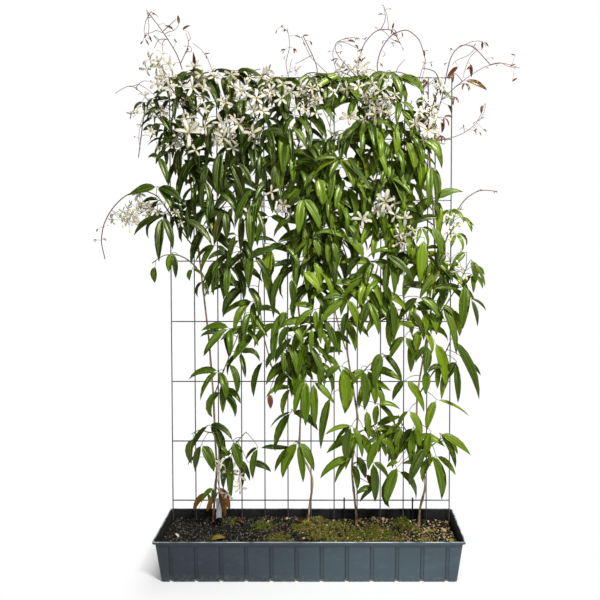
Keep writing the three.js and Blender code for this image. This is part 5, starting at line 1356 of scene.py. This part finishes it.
def thin_stalks(foot, end, radii, side, rise, tint):
    """The finer stalks of the sprays: petioles of five stations and four corners."""
    return petioles(foot, end, radii, np.array([0, side, rise]), tint, 5, 4)


def flower_skins(flowers, draw):
    """Petals, stamens and stalks of all the flowers. Petals are blades that leave the middle and curl back a little
    at their tips. Stamens are short three-sided rods that fan out of the middle. A flower with "count" is one of
    OPEN_FLOWERS, and its petals are broader."""
    foot, middle, face = (np.array([f[key] for f in flowers]) for key in ("foot", "middle", "face"))
    n = len(flowers)
    cream = np.clip((middle[:, 2] - 1.58) / 0.08, 0, 1) * (0.5 + 0.5 * (middle[:, 0] > 0.1))
    tint = np.stack([draw.random(n) ** 0.7 * (1 - 0.55 * cream), np.zeros(n), draw.random(n)], 1)
    stalks = thin_stalks(foot, middle - face * 0.002, PEDICEL_RADII, -0.08, 0.12, tint)
    owner, tips = [], []
    for k, f in enumerate(flowers):
        count = f.get("count") or draw.choice([4, 5, 6], p=[0.5, 0.3, 0.2])
        first = unit(f["tips"][0] - f["middle"])
        second = unit(np.cross(f["face"], first))
        reach = np.linalg.norm(f["tips"] - f["middle"], axis=1).mean() * f.get("size", 0.95)
        angles = np.arange(count) * 2 * np.pi / count + draw.normal(0, 0.17, count)
        away = np.cos(angles)[:, None] * first + np.sin(angles)[:, None] * second
        lift = draw.normal(f.get("cup", 0.05), 0.30, (count, 1))
        tips.append(f["middle"] + unit(away + lift * f["face"]) * reach * draw.uniform(0.82, 1.1, (count, 1)))
        owner += [k] * count
    owner, tips = np.array(owner), np.concatenate(tips)
    m = len(owner)
    look = {**PETAL_LOOK, "bend": draw.uniform(0.12, 0.75, m), "twist": draw.normal(0, 0.3, m),
            "fold": draw.uniform(-0.1, 0.5, m)}
    span = np.linalg.norm(tips - middle[owner], axis=1)
    start = middle[owner] + unit(tips - middle[owner]) * 0.0012
    petal_tint = np.stack([tint[owner, 0], np.zeros(m), draw.random(m)], 1)
    broad = np.array([PETAL_BREADTHS["count" in f] for f in flowers])[owner]
    half = span * (draw.uniform(0.095, 0.135, m) + broad)
    petals = blades(start, tips, face[owner], face[owner], half, look, PETAL_STATIONS, petal_tint)
    owner = np.repeat(np.arange(n), STAMENS)
    spread = unit(face[owner] + draw.normal(0, 0.42, (len(owner), 3)))
    length = draw.uniform(0.006, 0.010, len(owner))[:, None, None]
    share = np.array([0, 0.6, 0.72, 1.0])[:, None]
    rods = middle[owner][:, None] + spread[:, None] * share * length
    marks = marked((len(owner), 4, 3), along=share, chance=draw.random((len(owner), 1, 1)))
    return stalks, petals, along_path(rods, [0.0003, 0.0003, 0.0007, 0.0004], 3, marks)


def bud_skins(foot, tip, draw):
    """Closed buds on thin stalks, each a plump spindle of seven corners."""
    n = len(foot)
    tint = np.stack([draw.random(n), np.zeros(n), draw.random(n)], 1)
    neck = tip + unit(foot - tip + np.array([0, 0, 0.02])) * BUD
    stalks = thin_stalks(foot, neck, PEDICEL_RADII, -0.05, 0.15, tint)
    share = np.array([0, 0.12, 0.35, 0.62, 0.86, 1.0])[:, None]
    paths = neck[:, None] + (tip - neck)[:, None] * share
    radii = np.array([0.0007, 0.0026, 0.0045, 0.0043, 0.0020, 0.0004]) * draw.uniform(0.8, 1.15, (n, 1))
    return stalks, along_path(paths, radii, 7, marked((n, 6, 7), tint, along=share))


def white_petal(shade):
    along, across, under = shade.mark("place")
    tone, _, chance = shade.mark("tint")
    body = tone.blend("aca389", "e2ded2")
    body = (along.step(0.40, 0.0) * 0.6).blend(body, "bfc07e")
    ribs = shade.math("SINE", across * 14.0) * 0.5 + 0.5
    body = (ribs * 0.14 + under * 0.25).blend(body, "a8a48a")
    body = (chance.step(0.75, 1.0) * along.step(0.4, 1.0) * 0.7).blend(body, "a08258")
    return {"Base Color": body, "Roughness": 0.55 + 0.1 * ribs, "Specular IOR Level": 0.3,
            "Normal": shade.bump(ribs, 0.0004)}


def cream_stamen(shade):
    along, _, _ = shade.mark("place")
    _, _, chance = shade.mark("tint")
    body = along.step(0.55, 0.75).blend("c9cf86", "efe3a4")
    return {"Base Color": (chance * 0.5).blend(body, "d8c070"), "Roughness": 0.7,
            "Normal": shade.bump(shade.grain(0.001, 2), 0.0001)}


def cream_bud(shade):
    along, _, _ = shade.mark("place")
    tone, _, chance = shade.mark("tint")
    body = along.step(0.3, 0.0).blend(tone.blend("e3d68e", "f1ebcb"), "a9b25c")
    body = (chance.step(0.75, 1.0) * along.step(0.5, 1.0) * 0.5).blend(body, "c79a6c")
    return {"Base Color": body, "Roughness": 0.55, "Normal": shade.bump(shade.grain(0.003, 2, (1, 1, 3)), 0.0003)}


def faced(lean, loose, draw):
    """A drawn flower's face, which is near the way it leans, and the way of its first petal."""
    face = unit(lean + draw.normal(0, loose, 3))
    return face, unit(np.cross(face, draw.normal(0, 1, 3)))


def in_bud(flower):
    """Whether a flower stands where they are all still in bud."""
    return flower["middle"][0] > 0.42 and 0.9 < flower["middle"][2] < 1.3


draw = np.random.default_rng(42)
sprays = sorted(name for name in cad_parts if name.startswith("spray"))
carriers = np.concatenate(list(stem_lines.values()) + shoot_lines)
spray_lines, flowers, partners = [], [], []
for node in sprays:
    found, borne = read_spray(node, carriers)
    spray_lines += found
    flowers += borne
buds = [(f["foot"], f["middle"] + draw.normal(0, 0.010, 3)) for f in flowers if in_bud(f) for _ in range(2)]
large = np.array(OPEN_FLOWERS)[:, :2] / 1000
clear = lambda f: np.hypot(f["middle"][0] - large[:, 0], f["middle"][2] - large[:, 1]).min() > BESIDE
flowers = [f for f in flowers if not in_bud(f) and clear(f)]
for x, z, reach, turn, count in OPEN_FLOWERS:
    foot = beside(x / 1000, z / 1000, shoot_lines + spray_lines)
    face = unit([draw.normal(0, 0.2), -1.0, draw.uniform(-0.1, 0.3)])
    first = unit([np.cos(np.radians(turn)), 0, np.sin(np.radians(turn))])
    middle = np.array([x / 1000, draw.uniform(-0.065, -0.045), z / 1000])
    partners.append({"foot": foot, "middle": middle, "face": face, "tips": middle + first[None] * reach / 1000,
                     "cup": 0.0, "count": count, "size": 1.0})
for f in flowers:  # beside about a third of the sprays' flowers stands one more, and beside most of them a bud
    foot = f["foot"]
    reach = f["middle"] - foot
    for _ in range((draw.random() < 0.35) * (f["middle"][2] < 1.62)):
        heading = unit(reach + draw.normal(0, 1, 3) * np.linalg.norm(reach) * [1, 0.7, 0.8])
        middle = foot + heading * np.linalg.norm(reach) * draw.uniform(0.6, 1.1)
        face, side = faced(heading + [0, -0.9, 0.1], 0.35, draw)
        radius = np.linalg.norm(f["tips"][0] - f["middle"]) * draw.uniform(0.65, 0.95)
        partners.append({"foot": foot, "middle": middle, "face": face, "tips": middle + side[None] * radius,
                         "cup": float(draw.uniform(0.0, 0.6))})
    if draw.random() < 0.8:
        heading = unit(reach + draw.normal(0, 1, 3) * np.linalg.norm(reach))
        buds.append((foot, foot + heading * draw.uniform(0.02, 0.045)))
forks = []
for x, z, blooms, closed, spread in CLUSTERS:
    x, z, spread = x / 1000, z / 1000, spread / 1000
    line, k = nearest(shoot_lines, np.array([x, 0.0, z]))
    here = shoot_lines[line][k]
    fork = np.array([x, min(here[1] - 0.02, -0.01), z]) + draw.normal(0, 0.004, 3)
    forks.append((here, fork))
    for _ in range(blooms):
        heading = unit(draw.normal(0, 1, 3) * [1, 0.5, 0.8] + [0, -0.3, 0])
        middle = fork + heading * spread * draw.uniform(0.4, 1.0)
        face, side = faced(heading * 0.6 + [0, -0.9, 0.0], 0.35, draw)
        small = 0.75 if x < -0.45 and z < 1.3 else 1
        partners.append({"foot": fork, "middle": middle, "face": face, "cup": float(draw.uniform(-0.2, 0.4)),
                         "tips": middle + side[None] * draw.uniform(0.020, 0.028) * small})
    for _ in range(closed):
        buds.append((fork, fork + unit(draw.normal(0, 1, 3) * [1, 0.4, 1]) * spread * draw.uniform(0.5, 1.1)))
for line in shoot_lines:
    length = length_of(line)[-1]
    for at in np.arange(0.02, length, FORK_STEP) / length:
        here = line[int(at * (len(line) - 1))]
        x, _, z = here  # the blossom keeps to a band at the top, which starts higher on the right
        band = np.clip((z - 1.36 - 0.12 * (x > 0.1)) / 0.10, 0, 1) * np.clip((1.67 - z) / 0.05, 0, 1)
        if draw.random() > (0.36 if x < 0.05 else 0.26) * band * (-0.55 < x < 0.42):
            continue
        heading = unit([draw.normal(0, 0.7), -draw.uniform(0.3, 1), draw.uniform(-0.2, 0.9)])
        fork = here + heading * draw.uniform(0.02, 0.05)
        forks.append((here, fork))
        for _ in range(draw.integers(1, 3)):
            heading = unit([draw.normal(0, 1), -draw.uniform(0.0, 1), draw.normal(0, 0.7)])
            middle = fork + heading * draw.uniform(0.02, 0.045)
            face, side = faced(heading + [0, -0.9, 0.0], 0.4, draw)
            partners.append({"foot": fork, "middle": middle, "face": face,
                             "tips": middle + side[None] * draw.uniform(0.019, 0.027),
                             "cup": float(draw.uniform(-0.2, 0.7))})
        for _ in range(draw.integers(0, 3)):
            buds.append((fork, fork + unit(draw.normal(0, 1, 3) + [0, -0.5, -0.2]) * draw.uniform(0.02, 0.04)))
forks = np.array(forks)
n = len(forks)
fork_tint = np.stack([draw.random(n), np.full(n, 0.2), draw.random(n)], 1)
fork_stalks = thin_stalks(forks[:, 0], forks[:, 1], FORK_RADII, -0.05, 0.12, fork_tint)
flower_stalks, petals, stamens = flower_skins(flowers + partners, draw)
bud_stalks, bud_skin = bud_skins(*np.array(buds).transpose(1, 0, 2), draw)
spray_skins = []
for line in spray_lines:
    marks = marked((1, 1, 1), tone=0.6, age=0.4 * (line[:, 2].mean() > 1.4), chance=draw.random())
    spray_skins.append(along_path(line[None], np.linspace(*SPRAY_RADII, len(line)), 5, marks))
petal_finish = finish("white_petal", white_petal)
made("blossom", [(s, stalk_finish) for s in spray_skins + [flower_stalks, bud_stalks, fork_stalks]]
     + [(petals, petal_finish), (stamens, finish("cream_stamen", cream_stamen)),
        (bud_skin, finish("cream_bud", cream_bud))], sprays)

# ---------------------------------------------------------------- litter
# What has dropped on the soil and dried: a yellow-brown leaf at the front, brown scraps of others, a curled petal
# and a short dead twig. By the first stem one dry tendril still stands in an arc.

FALLEN = [  # foot x, y, tip x, y, half width, tone, age
    (-0.323, -0.064, -0.274, -0.048, 0.0085, 0.55, 0.74), (0.458, -0.062, 0.474, -0.044, 0.0070, 1.0, 0.75),
    (-0.048, 0.046, -0.012, 0.036, 0.0060, 0.8, 0.85), (-0.030, 0.030, -0.004, 0.048, 0.0050, 0.9, 0.70),
    (-0.262, 0.040, -0.226, 0.030, 0.0060, 0.6, 0.90), (0.150, 0.060, 0.176, 0.050, 0.0050, 0.9, 0.80),
    (0.392, 0.006, 0.418, -0.004, 0.0055, 0.9, 0.65)]


def on_soil(points, lift):
    """Points given as x, y, laid on the soil and lifted off it by so much."""
    return np.stack([points[:, 0], points[:, 1], soil_height(points[:, 0], points[:, 1]) + lift], 1)


draw = np.random.default_rng(77)
fallen = np.array(FALLEN)
n = len(fallen)
look = {**LEAF_LOOK, "twist": draw.normal(0, 0.5, n), "fold": draw.uniform(0.3, 0.8, n),
        "bend": draw.uniform(0.3, 0.7, n)}
faces = unit(draw.normal(0, 0.25, (n, 3)) + [0, -0.3, 1.0])
dead_leaves = blades(on_soil(fallen[:, :2], 0.003), on_soil(fallen[:, 2:4], 0.003), faces,
                     np.tile([[0.0, 0.0, 1.0]], (n, 1)), fallen[:, 4], look, LEAF_STATIONS,
                     np.stack([fallen[:, 5], fallen[:, 6], np.full(n, 0.3)], 1))
foot, tip = on_soil(np.array([(-0.447, -0.034), (-0.429, -0.044)]), 0.003)[:, None]
look = {**PETAL_LOOK, "bend": np.array([0.9]), "twist": np.array([0.8]), "fold": np.array([0.5])}
curl = blades(foot, tip, np.array([[0, -0.5, 1.0]]), np.array([[0, 0, 1.0]]), np.array([0.003]), look, PETAL_STATIONS,
              np.array([[1.0, 0, 0.2]]))
twig = rounded(on_soil(np.array([(0.262, -0.058), (0.280, -0.054), (0.300, -0.056), (0.318, -0.050)]), 0.004), 0.006)
arc = rounded(np.array([stem_lines["stem_1"][6], (-0.300, 0.02, 0.232), (-0.325, 0.01, 0.252), (-0.352, 0.01, 0.240),
                        (-0.372, 0.01, 0.205), (-0.376, 0.01, 0.190)]), 0.008, 1)
dry = marked((1,), tone=0.1, age=1.0, chance=0.5)
rods = [along_path(line[None], np.linspace(*radii, len(line)), sides, dry)
        for line, radii, sides in ((twig, (0.0022, 0.0014), 6), (arc, (0.0010, 0.0006), 5))]
made("litter", [(dead_leaves, leaf_finish), (curl, petal_finish)] + [(rod, stalk_finish) for rod in rods])

# ---------------------------------------------------------------- floor, light and camera
# A pale floor that glows white past 14 cm from the trough, a painted light that fills in the shadows falling
# there, and a white background. The key light stands high in front to the right, a broad sky light is above,
# a weak fill low in front, and a back light high behind.

AMBIENT = 0.04  # of the background's own brightness, as it lights the plant
world = bpy.data.worlds.new("studio")
bpy.context.scene.world = world
world.use_nodes = True
sky = Shade(world.node_tree)
seen = sky.node("LightPath", {}, {})
backdrop = world.node_tree.nodes["Background"]
world.node_tree.links.new((seen * (1.0 - AMBIENT) + AMBIENT).socket, backdrop.inputs["Strength"])
backdrop.inputs["Color"].default_value = (1, 1, 1, 1)
bpy.context.scene.view_settings.view_transform = "Standard"

floor_mesh = bpy.data.meshes.new("floor")
floor_mesh.from_pydata([(-6, -3, -0.0005), (6, -3, -0.0005), (6, 8, -0.0005), (-6, 8, -0.0005)], [], [(0, 1, 2, 3)])
floor = bpy.data.objects.new("floor", floor_mesh)
bpy.context.scene.collection.objects.link(floor)


def pale_floor(shade):
    x, y, _ = shade.place().parts()
    past = lambda along, half: shade.math("MAXIMUM", abs(along) - half, 0.0) ** 2
    # painted light: away from the trough the floor glows white over no colour of its own, so no shadow shows there
    far = ((past(x, 0.46) + past(y, 0.08)) ** 0.5).step(0.0, 0.14)
    return {"Base Color": far.blend("f0f0f0", "000000"), "Roughness": 0.9, "Specular IOR Level": 0.0,
            "Emission Color": (1 - far).blend("ffffff", "000000"), "Emission Strength": 1.0}


floor_mesh.materials.append(finish("pale_floor", pale_floor))

for name, at, turn, size, power in (("key", (1.3, -1.9, 3.4), (0.70, 0, 0.55), 0.5, 152),
                                    ("sky", (0.2, -1.3, 4.2), (0.38, 0, 0), 1.8, 34),
                                    ("fill", (0.6, -3.0, 1.6), (1.32, 0, 0.20), 1.0, 19),
                                    ("back", (0.4, 2.0, 2.8), (-0.75, 0, 0), 1.6, 22)):
    lamp = bpy.data.lights.new(name, "AREA")
    lamp.size, lamp.energy = size, power
    light = bpy.data.objects.new(name, lamp)
    light.location, light.rotation_euler = at, turn
    bpy.context.scene.collection.objects.link(light)

lens = bpy.data.cameras.new("view")
lens.lens, lens.sensor_width, lens.shift_x, lens.shift_y = 32.7, 36, -0.0537, -0.1023
camera = bpy.data.objects.new("view", lens)
camera.location, camera.rotation_euler = (0.074, -1.805, 1.158), (np.radians(88.3), 0, 0)
bpy.context.scene.collection.objects.link(camera)
bpy.context.scene.camera = camera
